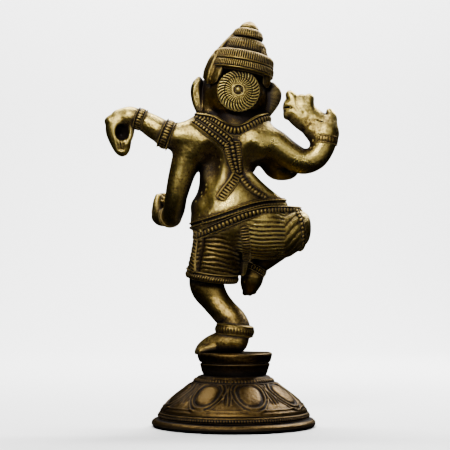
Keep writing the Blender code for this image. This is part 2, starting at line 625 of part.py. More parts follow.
def build_ornaments(brass, dark, torso, arms):
    shoulders = [torso, *arms]
    trees = surface_tree(*shoulders)
    collar = hoop("collar_necklace", dark, (-0.6, 0.0),
                  lambda a: 107.4 + 6.0 * math.cos(a) ** 2, surface_tree(torso), 1.9, 1.2)
    fit(collar)
    front = surface_tree(torso)
    pendant = strand("pendant", brass, [(-0.8, 106.0), (-0.8, 103.0)], front, (0, 1, 0), 2.0, 1.4)
    fit(pendant)
    paths = [
        ("shoulder_garland", [(13.0, 109.9), (9.4, 108.2), (5.4, 105.4), (2.0, 102.6)], 2.4, 1.3),
        ("spine_garland", [(0.5, 100.8), (-0.1, 98.0), (-0.8, 95.0), (-1.4, 92.6)], 2.5, 1.3),
        ("hip_garland_left", [(-0.1, 90.6), (1.5, 87.4), (4.2, 84.0), (6.8, 81.8)], 1.9, 1.3),
        ("hip_garland_right", [(-3.8, 90.2), (-5.6, 87.4), (-8.6, 85.0), (-11.6, 83.8)], 1.3, 1.3)]
    for name, path, half_width, thickness in paths:
        piece = strand(name, dark, path, trees, (0, -1, 0), half_width, thickness)
        fit(piece)
    thread = strand("sacred_thread", brass, [(9.0, 104.0), (4.0, 99.0), (-2.0, 92.5), (-7.0, 86.5)],
                    front, (0, 1, 0), 0.9, 0.8)
    fit(thread)


def centre_on_box():
    """Moves every piece so that the whole object's box is centred over the origin."""
    points = [v.co for obj in bpy.data.objects if obj.type == "MESH" for v in obj.data.vertices]
    middle = [(min(p[i] for p in points) + max(p[i] for p in points)) / 2 for i in (0, 1)]
    for obj in bpy.data.objects:
        obj.location = (-middle[0], -middle[1], 0)


def main():
    clear_scene()
    brass = metal("polished_brass", (0.62, 0.46, 0.17), 0.36)
    dark = metal("patinated_brass", (0.42, 0.29, 0.10), 0.5)
    aged = metal("aged_brass", (0.28, 0.19, 0.08), 0.5)
    steel = metal("fixing_steel", (0.45, 0.44, 0.42), 0.4)
    FITTED.append(build_base(aged, steel))
    torso = fit(build_torso(brass))
    build_belts(brass, dark, torso)
    build_legs(brass, dark, torso)
    arms = build_arms(brass, dark)
    build_head(brass, dark)
    build_rosette(brass, dark)
    build_crown(dark)
    build_ornaments(brass, dark, torso, arms)
    centre_on_box()


main()
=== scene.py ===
"""Detailed brass dancing figure on a lotus base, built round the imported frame.

The flesh and cloth of the figure are one smooth field of blended shapes, meshed once and then
parted where one limb's metal ends and the next begins. The ornaments are straps laid on it, and
the base, plinth and crown are turned. Shapes are in millimetres from the base's own axis and its
underside, with the figure facing -Y and its own left at +X.
"""

import math

import bpy
import numpy as np
from mathutils import Matrix, Vector
from mathutils.bvhtree import BVHTree


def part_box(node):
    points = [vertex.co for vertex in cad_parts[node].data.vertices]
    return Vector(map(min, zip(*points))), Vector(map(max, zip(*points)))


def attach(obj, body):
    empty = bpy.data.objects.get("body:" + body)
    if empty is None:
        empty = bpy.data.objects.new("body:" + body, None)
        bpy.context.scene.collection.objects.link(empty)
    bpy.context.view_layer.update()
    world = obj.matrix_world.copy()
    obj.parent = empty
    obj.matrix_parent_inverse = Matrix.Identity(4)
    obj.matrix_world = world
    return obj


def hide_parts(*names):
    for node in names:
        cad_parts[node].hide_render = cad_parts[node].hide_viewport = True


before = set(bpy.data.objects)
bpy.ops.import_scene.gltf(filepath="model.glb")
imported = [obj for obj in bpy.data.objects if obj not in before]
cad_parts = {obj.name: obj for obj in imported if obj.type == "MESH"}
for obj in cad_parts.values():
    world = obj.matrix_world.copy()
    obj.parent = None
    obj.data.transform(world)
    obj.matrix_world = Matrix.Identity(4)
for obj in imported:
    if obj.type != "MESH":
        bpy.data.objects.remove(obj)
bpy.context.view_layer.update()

MM = 0.001
BASE_LOW, BASE_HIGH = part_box("lotus_base")
AXIS = np.array([(BASE_LOW[0] + BASE_HIGH[0]) / 2, (BASE_LOW[1] + BASE_HIGH[1]) / 2, 0.0])
X_AXIS, Y_AXIS, Z_AXIS = np.eye(3)
CELL = 0.28
FINE = 0.16
FAR = 1000.0
STACK_STEP = 0.8
END_ROUNDING = 1.5
HEM_ROUNDING = 0.8
RAY_START = 60.0
STRAP_COLUMNS = 23
STRAP_UNDERSIDE = 0.92
STRAP_CREASE = 80
TURNED_CREASE = 60
HOOP_RAYS = 180
PLAIN_STEPS = 5
POLISHED, PATINATED, AGED = "polished_brass", "patinated_brass", "aged_brass"
STEEL = "fixing_steel"
# Parts in the darker patinated brass: most for their own darker tone, but front_right_arm, which
# lies under the rear arm, and right_foot get it as painted shade.
DARK_AND_SHADED_PARTS = ("head", "left_dhoti_leg", "left_shin", "left_foot", "right_shin", "right_foot",
              "front_right_arm")


# ---- small helpers ---------------------------------------------------------------------------

def unit(vectors):
    vectors = np.asarray(vectors, dtype=float)
    return vectors / np.maximum(np.linalg.norm(vectors, axis=-1, keepdims=True), 1e-9)


def smooth_rows(knots, step):
    """Catmull-Rom rows through the knots, about step millimetres apart."""
    knots = np.asarray(knots, dtype=float)
    padded = np.vstack([2 * knots[0] - knots[1], knots, 2 * knots[-1] - knots[-2]])
    rows = []
    for a, b, c, d in zip(padded, padded[1:], padded[2:], padded[3:]):
        count = max(1, int(math.ceil(np.linalg.norm((c - b)[:3]) / step)))
        t = (np.arange(count) / count)[:, None]
        rows.append(0.5 * (2 * b + (c - a) * t + (2 * a - 5 * b + 4 * c - d) * t ** 2
                           + (3 * b - a - 3 * c + d) * t ** 3))
    return np.vstack(rows + [knots[-1:]])


def bell(distance, width):
    """1 at no distance, falling smoothly to 0 at width."""
    return np.clip(1 - (distance / width) ** 2, 0, 1) ** 2


def ramp(value, low, high):
    """0 up to low and 1 from high on, with a smooth rise between."""
    t = np.clip((value - low) / (high - low), 0, 1)
    return t * t * (3 - 2 * t)


def rolls(angle, sharpness=1):
    """Round rolls with narrow creases between them, one for each half turn of angle."""
    return np.abs(np.sin(angle)) ** sharpness


def arch(u):
    """The height of a half circle over u from -1 to 1."""
    return np.sqrt(np.clip(1 - u ** 2, 0, 1))


def moved(points, place):
    """Points (..., 3) carried by a rotation and translation."""
    return points @ np.array(place.to_3x3()).T + np.array(place.translation)


# ---- meshes and pieces -----------------------------------------------------------------------

def new_mesh(points, faces):
    """A smooth-shaded mesh from millimetre points."""
    mesh = bpy.data.meshes.new("metal")
    mesh.from_pydata((np.asarray(points) * MM + AXIS).tolist(), [], [tuple(f) for f in faces])
    mesh.shade_smooth()
    return mesh


def add_piece(node_name, mesh, slot):
    """Shows the mesh in place of one CAD node."""
    mesh.name = node_name + "_metal"
    obj = bpy.data.objects.new(mesh.name, mesh)
    bpy.context.scene.collection.objects.link(obj)
    mesh.materials.append(MATERIALS[slot])
    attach(obj, "root")
    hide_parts(node_name)


def grid_faces(rows, columns, wrap_rows=False):
    """Quads of a grid whose columns always wrap round."""
    row = np.arange(rows if wrap_rows else rows - 1)[:, None]
    column = np.arange(columns)[None, :]
    following = (row + 1) % rows
    right = (column + 1) % columns
    quads = np.stack([row * columns + column, row * columns + right,
                      following * columns + right, following * columns + column], axis=-1)
    return quads.reshape(-1, 4)


def grid_mesh(rings, closed=False, sharp=None):
    """Skins rings of points (rows, columns, 3). Open ends close on the middle of their ring.

    Edges that turn by more than sharp degrees stay crisp.
    """
    rows, columns = rings.shape[:2]
    points = rings.reshape(-1, 3)
    faces = grid_faces(rows, columns, closed).tolist()
    if not closed:
        ends = np.array([rings[0].mean(axis=0), rings[-1].mean(axis=0)])
        first, last = len(points), len(points) + 1
        points = np.vstack([points, ends])
        top = (rows - 1) * columns
        faces += [(first, (i + 1) % columns, i) for i in range(columns)]
        faces += [(last, top + i, top + (i + 1) % columns) for i in range(columns)]
    mesh = new_mesh(points, faces)
    if sharp:
        mesh.set_sharp_from_angle(angle=math.radians(sharp))
    return mesh


# ---- the field of blended shapes -------------------------------------------------------------

def smooth_min(a, b, softness):
    if softness <= 0:
        return np.minimum(a, b)
    h = np.maximum(softness - np.abs(a - b), 0) / softness
    return np.minimum(a, b) - h * h * softness / 4


def window(start, stop, origin=(0, 0, 0)):
    """The slices of a grid from start to stop, counted from origin."""
    return tuple(slice(a - s, b - s) for a, b, s in zip(start, stop, origin))


class Shape:
    """Something with a box and a signed distance."""

    def __init__(self, low, high, distance):
        self.low = np.asarray(low, dtype=float)
        self.high = np.asarray(high, dtype=float)
        self.distance = distance


def chain(knots, flat=None, step=1.2):
    """A limb along knots (x, y, z, radius). flat is a direction and how thin it is that way."""
    rows = smooth_rows(knots, step)
    reach = rows[:, 3].max() + 2.0
    direction, ratio = (unit(flat[0]), flat[1]) if flat else (None, 1.0)

    def distance(field, low, high):
        part = field.empty(low, high)
        for a, b in zip(rows, rows[1:]):
            radius = max(a[3], b[3]) + 3.0
            near = field.crop(low, high, np.minimum(a, b)[:3] - radius,
                              np.maximum(a, b)[:3] + radius)
            if near is None:
                continue
            inner, p = near
            along = b[:3] - a[:3]
            t = sum((p[i] - a[i]) * along[i] for i in range(3)) / max(along @ along, 1e-6)
            t = np.clip(t, 0, 1)
            q = [p[i] - a[i] - t * along[i] for i in range(3)]
            if flat:
                lean = sum(q[i] * direction[i] for i in range(3)) * (1 / ratio - 1)
                q = [q[i] + lean * direction[i] for i in range(3)]
            d = np.sqrt(q[0] ** 2 + q[1] ** 2 + q[2] ** 2) - (a[3] + (b[3] - a[3]) * t)
            part[inner] = np.minimum(part[inner], d)
        return part

    return Shape(rows[:, :3].min(axis=0) - reach, rows[:, :3].max(axis=0) + reach, distance)


def ball(centre, radii, turn=None):
    """An ellipsoid. turn is (axis, degrees)."""
    centre = np.asarray(centre, dtype=float)
    radii = np.asarray(radii, dtype=float) * np.ones(3)
    matrix = np.eye(3)
    if turn:
        matrix = np.array(Matrix.Rotation(math.radians(turn[1]), 3, Vector(turn[0]))).T
    reach = radii.max() + 2.0

    def distance(field, low, high):
        p = field.points(low, high)
        q = [sum(matrix[i, j] * (p[j] - centre[j]) for j in range(3)) for i in range(3)]
        k0 = np.sqrt(sum((q[i] / radii[i]) ** 2 for i in range(3)))
        k1 = np.sqrt(sum((q[i] / radii[i] ** 2) ** 2 for i in range(3)))
        return k0 * (k0 - 1) / np.maximum(k1, 1e-6)

    return Shape(centre - reach, centre + reach, distance)


def stack(axis, table, relief=None, limit=None):
    """Ellipses stacked along an axis. A row is (place, centre u, centre v, half u, half v).

    relief(place, angle) is added to the surface, with the angle measured from u towards v. Metal
    stays on the side of limit (point, direction) that its direction shows.
    """
    rows = smooth_rows(table, STACK_STEP)
    rows = rows[np.argsort(rows[:, 0])]
    others = [i for i in range(3) if i != axis]
    low, high = np.zeros(3), np.zeros(3)
    low[axis], high[axis] = rows[0, 0] - 2, rows[-1, 0] + 2
    for i, other in enumerate(others):
        low[other] = (rows[:, 1 + i] - rows[:, 3 + i]).min() - 3
        high[other] = (rows[:, 1 + i] + rows[:, 3 + i]).max() + 3

    def distance(field, low, high):
        p = field.points(low, high)
        place = p[axis]
        cu, cv, hu, hv = (np.interp(place, rows[:, 0], rows[:, i]) for i in range(1, 5))
        u, v = p[others[0]] - cu, p[others[1]] - cv
        k0 = np.sqrt((u / hu) ** 2 + (v / hv) ** 2)
        k1 = np.sqrt((u / hu ** 2) ** 2 + (v / hv ** 2) ** 2)
        d = k0 * (k0 - 1) / np.maximum(k1, 1e-6)
        if relief:
            d = d - relief(place, np.arctan2(v / hv, u / hu))
        cap = np.maximum(rows[0, 0] - place, place - rows[-1, 0]) + 0 * d
        d = -smooth_min(-d, -cap, END_ROUNDING)
        if limit:
            below = sum((limit[0][i] - p[i]) * limit[1][i] for i in range(3))
            d = -smooth_min(-d, -below, HEM_ROUNDING)
        return d

    return Shape(low, high, distance)


class Field:
    """Signed distance on a grid, negative inside metal, with the part that is nearest."""

    def __init__(self, low, high, cell):
        self.low = np.asarray(low, dtype=float)
        self.cell = cell
        counts = np.ceil((np.asarray(high) - self.low) / cell).astype(int) + 1
        self.axes = [(self.low[i] + np.arange(counts[i]) * cell).astype(np.float32)
                     for i in range(3)]
        self.value = np.full(counts, FAR, dtype=np.float32)
        self.nearest = np.full(counts, FAR, dtype=np.float32)
        self.owner = np.zeros(counts, dtype=np.uint8)
        self.parts = [None]

    def span(self, low, high):
        start = np.clip(np.floor((np.asarray(low) - self.low) / self.cell), 0, None).astype(int)
        stop = np.ceil((np.asarray(high) - self.low) / self.cell).astype(int) + 1
        stop = np.minimum(stop, self.value.shape)
        return start, stop

    def points(self, start, stop):
        x, y, z = (self.axes[i][start[i]:stop[i]] for i in range(3))
        return x[:, None, None], y[None, :, None], z[None, None, :]

    def empty(self, start, stop):
        return np.full(stop - start, FAR, dtype=np.float32)

    def crop(self, start, stop, low, high):
        """The slices of a window that a smaller box takes, and the points there."""
        inner_start, inner_stop = self.span(low, high)
        inner_start = np.maximum(inner_start, start)
        inner_stop = np.minimum(inner_stop, stop)
        if (inner_stop <= inner_start).any():
            return None
        return window(inner_start, inner_stop, start), self.points(inner_start, inner_stop)

    def part(self, name, *shapes, softness=1.0, own=0.6):
        """Adds shapes as metal of the named part, blended with each other by own."""
        if name not in self.parts:
            self.parts.append(name)
        label = self.parts.index(name)
        lows = np.min([s.low for s in shapes], axis=0)
        highs = np.max([s.high for s in shapes], axis=0)
        margin = max(softness, own)
        start, stop = self.span(lows - margin, highs + margin)
        slices = window(start, stop)
        together = self.empty(start, stop)
        for shape in shapes:
            inner_start, inner_stop = self.span(shape.low - own, shape.high + own)
            inner = window(inner_start, inner_stop, start)
            d = shape.distance(self, inner_start, inner_stop)
            together[inner] = smooth_min(together[inner], d, own)
        closer = together < self.nearest[slices]
        self.owner[slices][closer] = label
        self.nearest[slices][closer] = together[closer]
        self.value[slices] = smooth_min(self.value[slices], together, softness)

    def cut(self, shape, softness):
        """Takes the shape's room out of the metal."""
        start, stop = self.span(shape.low - softness, shape.high + softness)
        slices = window(start, stop)
        room = shape.distance(self, start, stop)
        self.value[slices] = -smooth_min(-self.value[slices], room, softness)

    def groove(self, softness, *knots):
        """Cuts along knots (x, y, z, radius)."""
        self.cut(chain(knots), softness)

    def surface(self):
        """Points, quads and each quad's part, by naive surface nets."""
        value = self.value
        inside = value < 0
        shape = np.array(value.shape) - 1
        corners = [(i, j, k) for i in (0, 1) for j in (0, 1) for k in (0, 1)]
        count = np.zeros(shape, dtype=np.uint8)
        for i, j, k in corners:
            count += inside[i:shape[0] + i, j:shape[1] + j, k:shape[2] + k]
        active = (count > 0) & (count < 8)
        cells = np.argwhere(active)
        index = np.full(shape, -1, dtype=np.int32)
        index[active] = np.arange(len(cells))
        at = {c: value[tuple((cells + c).T)] for c in corners}
        total = np.zeros((len(cells), 3))
        number = np.zeros(len(cells))
        for a in corners:
            for axis in range(3):
                if a[axis]:
                    continue
                b = tuple(c + (i == axis) for i, c in enumerate(a))
                cross = (at[a] < 0) != (at[b] < 0)
                t = np.where(cross, at[a] / np.where(cross, at[a] - at[b], 1), 0)
                point = np.array(a) + t[:, None] * np.eye(3)[axis]
                total += point * cross[:, None]
                number += cross
        points = self.low + (cells + total / number[:, None]) * self.cell
        quads, labels = [], []
        for axis in range(3):
            lower = [slice(1, -1)] * 3
            upper = [slice(1, -1)] * 3
            lower[axis], upper[axis] = slice(0, -1), slice(1, None)
            first, second = inside[tuple(lower)], inside[tuple(upper)]
            where = np.argwhere(first != second)
            starts = first[tuple(where.T)]
            origin = np.ones(3, dtype=int)
            origin[axis] = 0
            where = where + origin
            u, v = [i for i in range(3) if i != axis]
            ring = []
            for du, dv in ((0, 0), (-1, 0), (-1, -1), (0, -1)):
                cell = where.copy()
                cell[:, u] += du
                cell[:, v] += dv
                ring.append(index[tuple(cell.T)])
            quad = np.stack(ring, axis=1)
            flip = starts if axis == 1 else ~starts
            quad[flip] = quad[flip][:, ::-1]
            quads.append(quad)
            labels.append(self.owner[tuple(where.T)])
        return points, np.vstack(quads), np.concatenate(labels)


# ---- the figure's shapes ---------------------------------------------------------------------

def ringed(knots, pitch, depth):
    """Knots resampled finely, with the radius swelling between grooves pitch apart."""
    rows = smooth_rows(knots, 0.35)
    run = np.concatenate([[0], np.cumsum(np.linalg.norm(np.diff(rows[:, :3], axis=0), axis=1))])
    rows[:, 3] += depth * (rolls(math.pi * run / pitch, 0.7) - 1)
    return rows


def build_trunk_of_body(field):
    field.part("torso", stack(2, [
        (64, 4.4, -0.4, 6.5, 6.0), (70, 2.6, -1.0, 12.0, 9.8), (74, 1.7, -1.8, 14.2, 11.4),
        (78, 0.9, -2.8, 15.0, 12.2), (82, 0.5, -4.0, 15.3, 12.8), (85.5, 0.5, -4.4, 13.4, 12.2),
        (88.5, 1.6, -3.8, 11.4, 10.8), (91.6, 3.0, -2.8, 9.7, 9.2), (95, 2.0, -1.8, 10.4, 8.4),
        (99, 1.4, -0.9, 11.4, 8.4), (103, 1.0, -0.3, 12.8, 8.6), (107, 0.5, 0.2, 13.4, 8.2),
        (110, -0.1, 0.4, 11.4, 7.4), (112.8, -0.9, 0.3, 8.4, 6.2), (116, -1.4, 0.0, 6.6, 5.6),
        (119, -1.6, -0.4, 6.4, 5.4)]),
        ball((1.0, -9.6, 85.5), (11.6, 8.6, 9.8)),
        ball((8.2, 4.6, 103.0), (5.6, 4.0, 6.0)), ball((-6.6, 4.8, 103.0), (5.2, 3.8, 5.6)),
        ball((5.6, -5.6, 103.4), (5.2, 3.4, 4.6)), ball((-5.2, -5.6, 103.4), (5.2, 3.4, 4.6)),
        ball((11.4, 0.6, 110.6), (4.6, 4.4, 4.4)), ball((-9.4, 0.6, 110.2), (4.2, 4.4, 4.4)),
        softness=2.0, own=2.4)
    field.part("torso", chain([(-5.6, 3.0, 91.4, 2.2), (-8.2, 2.0, 88.0, 2.7),
                               (-12.0, 0.6, 84.4, 3.0), (-16.8, -1.6, 80.4, 3.4)]), softness=2.2)
    field.cut(ball((9.4, 8.8, 95.4), (5.0, 5.8, 8.6)), 1.8)
    field.cut(ball((-6.6, 10.6, 97.6), (3.2, 4.4, 5.8)), 1.8)
    field.cut(ball((12.6, 9.4, 82.6), (4.2, 4.4, 4.4)), 2.0)
    field.cut(ball((1.0, -18.6, 83.4), (0.8, 1.0, 1.1)), 0.6)


def build_arms(field):
    field.part("rear_left_arm", chain([
        (9.0, 1.6, 105.4, 6.4), (14.6, 2.2, 106.6, 5.9), (20.0, 2.2, 106.4, 5.1),
        (24.8, 2.0, 107.3, 4.6), (29.6, 1.6, 110.0, 4.3), (34.6, 1.0, 113.0, 3.5),
        (38.6, 0.6, 113.9, 3.4)]),
        chain([(15.0, 2.0, 102.6, 4.4), (20.4, 2.0, 104.4, 3.9), (25.6, 1.8, 106.4, 3.9)]),
        softness=3.4)
    field.part("front_left_arm", chain([
        (12.6, 0.8, 104.6, 6.6), (16.6, 0.6, 99.6, 5.7), (18.6, 0.2, 94.6, 5.0),
        (20.2, -0.2, 89.0, 4.5), (21.4, -1.2, 84.0, 4.1), (22.2, -3.6, 79.8, 4.0),
        (23.4, -8.0, 77.6, 3.8), (24.8, -12.2, 77.6, 3.4)]), softness=2.6)
    field.part("rear_right_arm", chain([
        (-8.6, 1.6, 104.8, 6.6), (-14.4, 2.0, 103.6, 5.7), (-19.8, 2.2, 100.0, 5.1),
        (-25.2, 2.2, 97.2, 4.8), (-30.0, 2.2, 98.4, 4.5), (-33.0, 2.2, 102.6, 4.4),
        (-33.9, 2.2, 106.6, 4.5), (-34.0, 2.1, 108.4, 4.5)]), softness=3.4)
    field.part("front_right_arm", chain([
        (-11.0, -1.4, 103.4, 5.8), (-14.2, -3.4, 98.4, 5.0), (-16.4, -5.4, 95.4, 4.4),
        (-20.2, -7.2, 95.3, 4.1), (-20.8, -10.2, 96.4, 3.7), (-17.0, -13.2, 98.4, 3.4),
        (-14.2, -14.0, 99.8, 3.2)]), softness=2.0)


def fingers(*rows):
    return [chain(row, step=0.8) for row in rows]


def build_hands(field):
    field.part("rear_left_hand", chain([
        (38.4, 0.6, 113.7, 3.7), (42.0, 0.4, 112.6, 4.2), (43.1, 0.3, 109.6, 4.5),
        (42.1, 0.4, 105.8, 4.2), (41.4, 0.6, 102.4, 3.1), (41.2, 0.8, 101.0, 2.0)],
        flat=(Y_AXIS, 0.66)), ball((45.4, 0.4, 112.2), (2.6, 2.2, 2.3)),
        *fingers([(45.4, 0.4, 111.0, 1.8), (45.2, 0.8, 106.6, 1.4), (43.2, 1.0, 102.0, 1.2)],
                 [(38.0, 1.2, 111.0, 1.5), (38.2, 1.8, 106.8, 1.2), (39.6, 1.8, 103.4, 1.0)]),
        softness=1.6)
    field.cut(ball((41.3, 3.9, 107.9), (2.6, 3.6, 3.3)), 0.9)
    field.cut(ball((41.9, 2.0, 107.4), (1.3, 2.6, 1.5)), 0.8)
    for x, end in ((43.3, 42.3), (42.0, 41.5), (40.7, 40.7)):
        field.groove(0.5, (x, 3.0, 105.0, 0.2), (end, 2.3, 101.4, 0.3))
        field.groove(0.5, (x, -2.4, 110.0, 0.25), (end, -1.2, 101.6, 0.3))

    field.part("rear_right_hand", chain([
        (-34.3, 2.1, 107.4, 4.5), (-31.4, 1.9, 110.2, 5.2), (-28.2, 1.5, 112.4, 5.3),
        (-25.0, 1.2, 115.2, 5.4), (-22.8, 0.9, 117.4, 4.6)], flat=(Y_AXIS, 0.58)),
        *fingers([(-23.6, 1.4, 118.4, 2.5), (-21.2, 1.2, 121.6, 1.9), (-20.9, 0.9, 122.3, 1.5)],
                 [(-25.6, 1.6, 118.0, 2.6), (-25.2, 1.3, 120.4, 1.9)],
                 [(-27.2, 1.6, 118.0, 2.6), (-28.0, 1.3, 120.6, 1.9)],
                 [(-22.6, 1.4, 115.8, 2.6), (-20.2, 1.2, 114.9, 1.9), (-19.9, 1.0, 114.2, 1.5)],
                 [(-34.8, 2.0, 110.4, 3.3), (-36.0, 1.9, 113.2, 2.3), (-35.5, 1.8, 115.6, 1.3)]),
        chain([(-31.8, 2.1, 105.0, 3.4), (-29.2, 1.9, 108.8, 3.6)]), softness=1.6)
    field.groove(0.6, (-26.0, 4.6, 114.4, 0.3), (-23.4, 4.2, 117.4, 0.3), (-23.0, 3.2, 121.4, 0.3))
    field.groove(0.6, (-24.4, 4.8, 113.6, 0.2), (-21.6, 3.8, 116.8, 0.3), (-19.2, 1.8, 117.2, 0.4))
    for x, z in ((-33.6, 109.6), (-32.2, 111.6)):
        field.groove(0.4, (x - 2.4, 3.9, z - 1.2, 0.15), (x, 5.0, z, 0.2),
                     (x + 2.0, 4.2, z + 0.6, 0.15))

    field.part("front_left_hand", chain([
        (24.8, -11.8, 77.6, 3.4), (26.4, -15.0, 77.4, 4.2), (27.4, -18.0, 78.0, 4.1)],
        flat=(Z_AXIS, 0.8)),
        *fingers([(24.6, -17.6, 78.6, 1.4), (24.0, -21.0, 79.8, 1.3), (24.2, -22.4, 82.4, 1.0)],
                 [(27.4, -19.0, 78.8, 1.4), (27.4, -22.2, 79.8, 1.3), (27.4, -23.4, 82.4, 1.0)],
                 [(29.6, -17.8, 79.0, 1.4), (30.4, -20.6, 79.8, 1.3), (30.4, -21.8, 82.4, 1.0)],
                 [(28.4, -14.2, 79.0, 2.0), (29.2, -14.8, 82.4, 1.7), (28.8, -15.6, 85.4, 1.3)]),
        softness=1.4)
    field.part("front_right_hand", chain([
        (-13.8, -14.0, 99.8, 3.1), (-12.8, -15.2, 102.8, 3.4), (-11.6, -15.9, 106.2, 3.7)],
        flat=(Y_AXIS, 0.6)),
        *fingers([(-13.8, -16.0, 106.4, 1.3), (-13.4, -15.8, 111.6, 1.0)],
                 [(-11.6, -16.2, 107.0, 1.4), (-11.0, -15.8, 112.8, 1.1)],
                 [(-9.3, -16.0, 106.6, 1.2), (-8.2, -15.8, 111.4, 1.0)],
                 [(-14.8, -15.8, 102.8, 1.4), (-16.4, -16.2, 106.4, 1.1)]),
        softness=1.4)


def build_head(field):
    field.part("head", ball((-1.3, -0.8, 121.6), (11.0, 9.8, 9.4)),
               *[ball((x, -6.6, 124.6), (5.2, 4.6, 5.4)) for x in (2.6, -5.4)],
               *[ball((x, -7.0, 117.6), (4.6, 4.4, 4.4)) for x in (3.8, -6.6)],
               ball((-1.6, -9.6, 113.4), (3.0, 3.4, 2.0)),
               softness=1.4, own=2.4)
    field.part("trunk", chain(ringed([
        (-1.5, -8.6, 121.0, 4.6), (-1.9, -12.0, 117.4, 4.3), (-2.2, -14.4, 112.6, 3.8),
        (-1.6, -15.6, 107.2, 3.3), (0.8, -15.9, 102.6, 2.9), (4.8, -16.4, 99.6, 2.5),
        (8.4, -16.8, 100.4, 2.1), (9.8, -17.0, 103.4, 1.8)], 1.5, 0.3), step=0.5), softness=1.8)
    field.part("head", chain([(7.4, -3.4, 126.4, 4.2), (8.0, -3.0, 120.6, 4.4),
                              (8.6, -2.0, 114.6, 4.2)]),
               chain([(-9.4, -3.2, 125.6, 3.6), (-9.2, -3.0, 120.0, 4.0),
                      (-8.8, -2.0, 114.0, 4.0)]), softness=2.0)
    field.part("left_ear", chain([
        (12.9, -2.2, 127.2, 2.3), (13.9, -2.6, 124.6, 3.3), (13.6, -2.4, 120.8, 3.1),
        (12.7, -1.8, 117.2, 2.3), (12.3, -1.4, 115.6, 1.7)], flat=(X_AXIS, 0.66)), softness=1.0)
    field.groove(0.8, (13.9, 1.4, 125.6, 0.7), (13.9, 1.0, 121.6, 0.8), (13.2, 1.0, 117.4, 0.5))
    field.part("right_ear", chain([
        (-13.8, -1.6, 124.8, 2.6), (-14.7, -1.4, 122.4, 3.3), (-14.1, -1.2, 119.4, 2.8),
        (-12.9, -1.0, 116.6, 2.1), (-12.1, -0.8, 114.6, 1.5)], flat=(Y_AXIS, 0.62)), softness=1.0)
    field.groove(0.6, (-16.0, 1.5, 122.4, 0.3), (-15.0, 1.4, 119.0, 0.35),
                 (-13.6, 1.0, 116.0, 0.2))
    for side, x in ((1, 4.4), (-1, -7.4)):
        field.part("head", ball((x, -11.0, 120.2), (1.7, 1.1, 1.0), (Y_AXIS, side * 12)),
                   softness=0.3)
        field.groove(0.4, (x - side * 2.2, -11.4, 119.6, 0.2), (x, -12.3, 121.6, 0.25),
                     (x + side * 2.4, -10.6, 120.6, 0.2))
        field.groove(0.4, (x - side * 2.2, -11.4, 119.4, 0.2), (x, -12.0, 118.8, 0.25),
                     (x + side * 2.4, -10.6, 120.2, 0.2))
    field.part("left_tusk", chain([(3.6, -9.0, 115.8, 1.5), (5.2, -12.6, 114.6, 1.2),
                                   (5.7, -14.2, 114.5, 1.1)]), softness=0.6)
    field.part("right_tusk", chain([(-7.4, -9.0, 115.4, 1.4), (-8.9, -12.8, 114.0, 1.1),
                                    (-9.3, -16.6, 114.8, 0.5)]), softness=0.6)


def leg_folds(z, angle):
    """Cloth drawn round the standing thigh: wavy rolls with deep creases between them."""
    wave = z - 1.0 * np.cos(angle) + 0.30 * np.sin(angle * 3 + 0.5) + 0.16 * np.sin(angle * 8 + z)
    roll = rolls(math.pi * wave / 1.62, 0.6)
    depth = 0.46 + 0.14 * np.sin(angle * 3 + z * 0.9)
    return (roll - 0.7) * depth * ramp(z, 53.0, 56.0)


def thigh_folds(x, angle):
    """Pleats that run along the raised thigh and fan out from the knee."""
    roll = rolls(19 * angle + 0.4 * np.sin(x * 0.5), 0.6)
    knee = rolls(7 * angle + 0.75 * x, 0.7)
    on_thigh = ramp(x, -19.4, -18.2)
    on_knee = (1 - on_thigh) * ramp(x, -27.5, -25.0)
    return (roll - 0.7) * 0.65 * on_thigh + (knee - 0.7) * 0.45 * on_knee


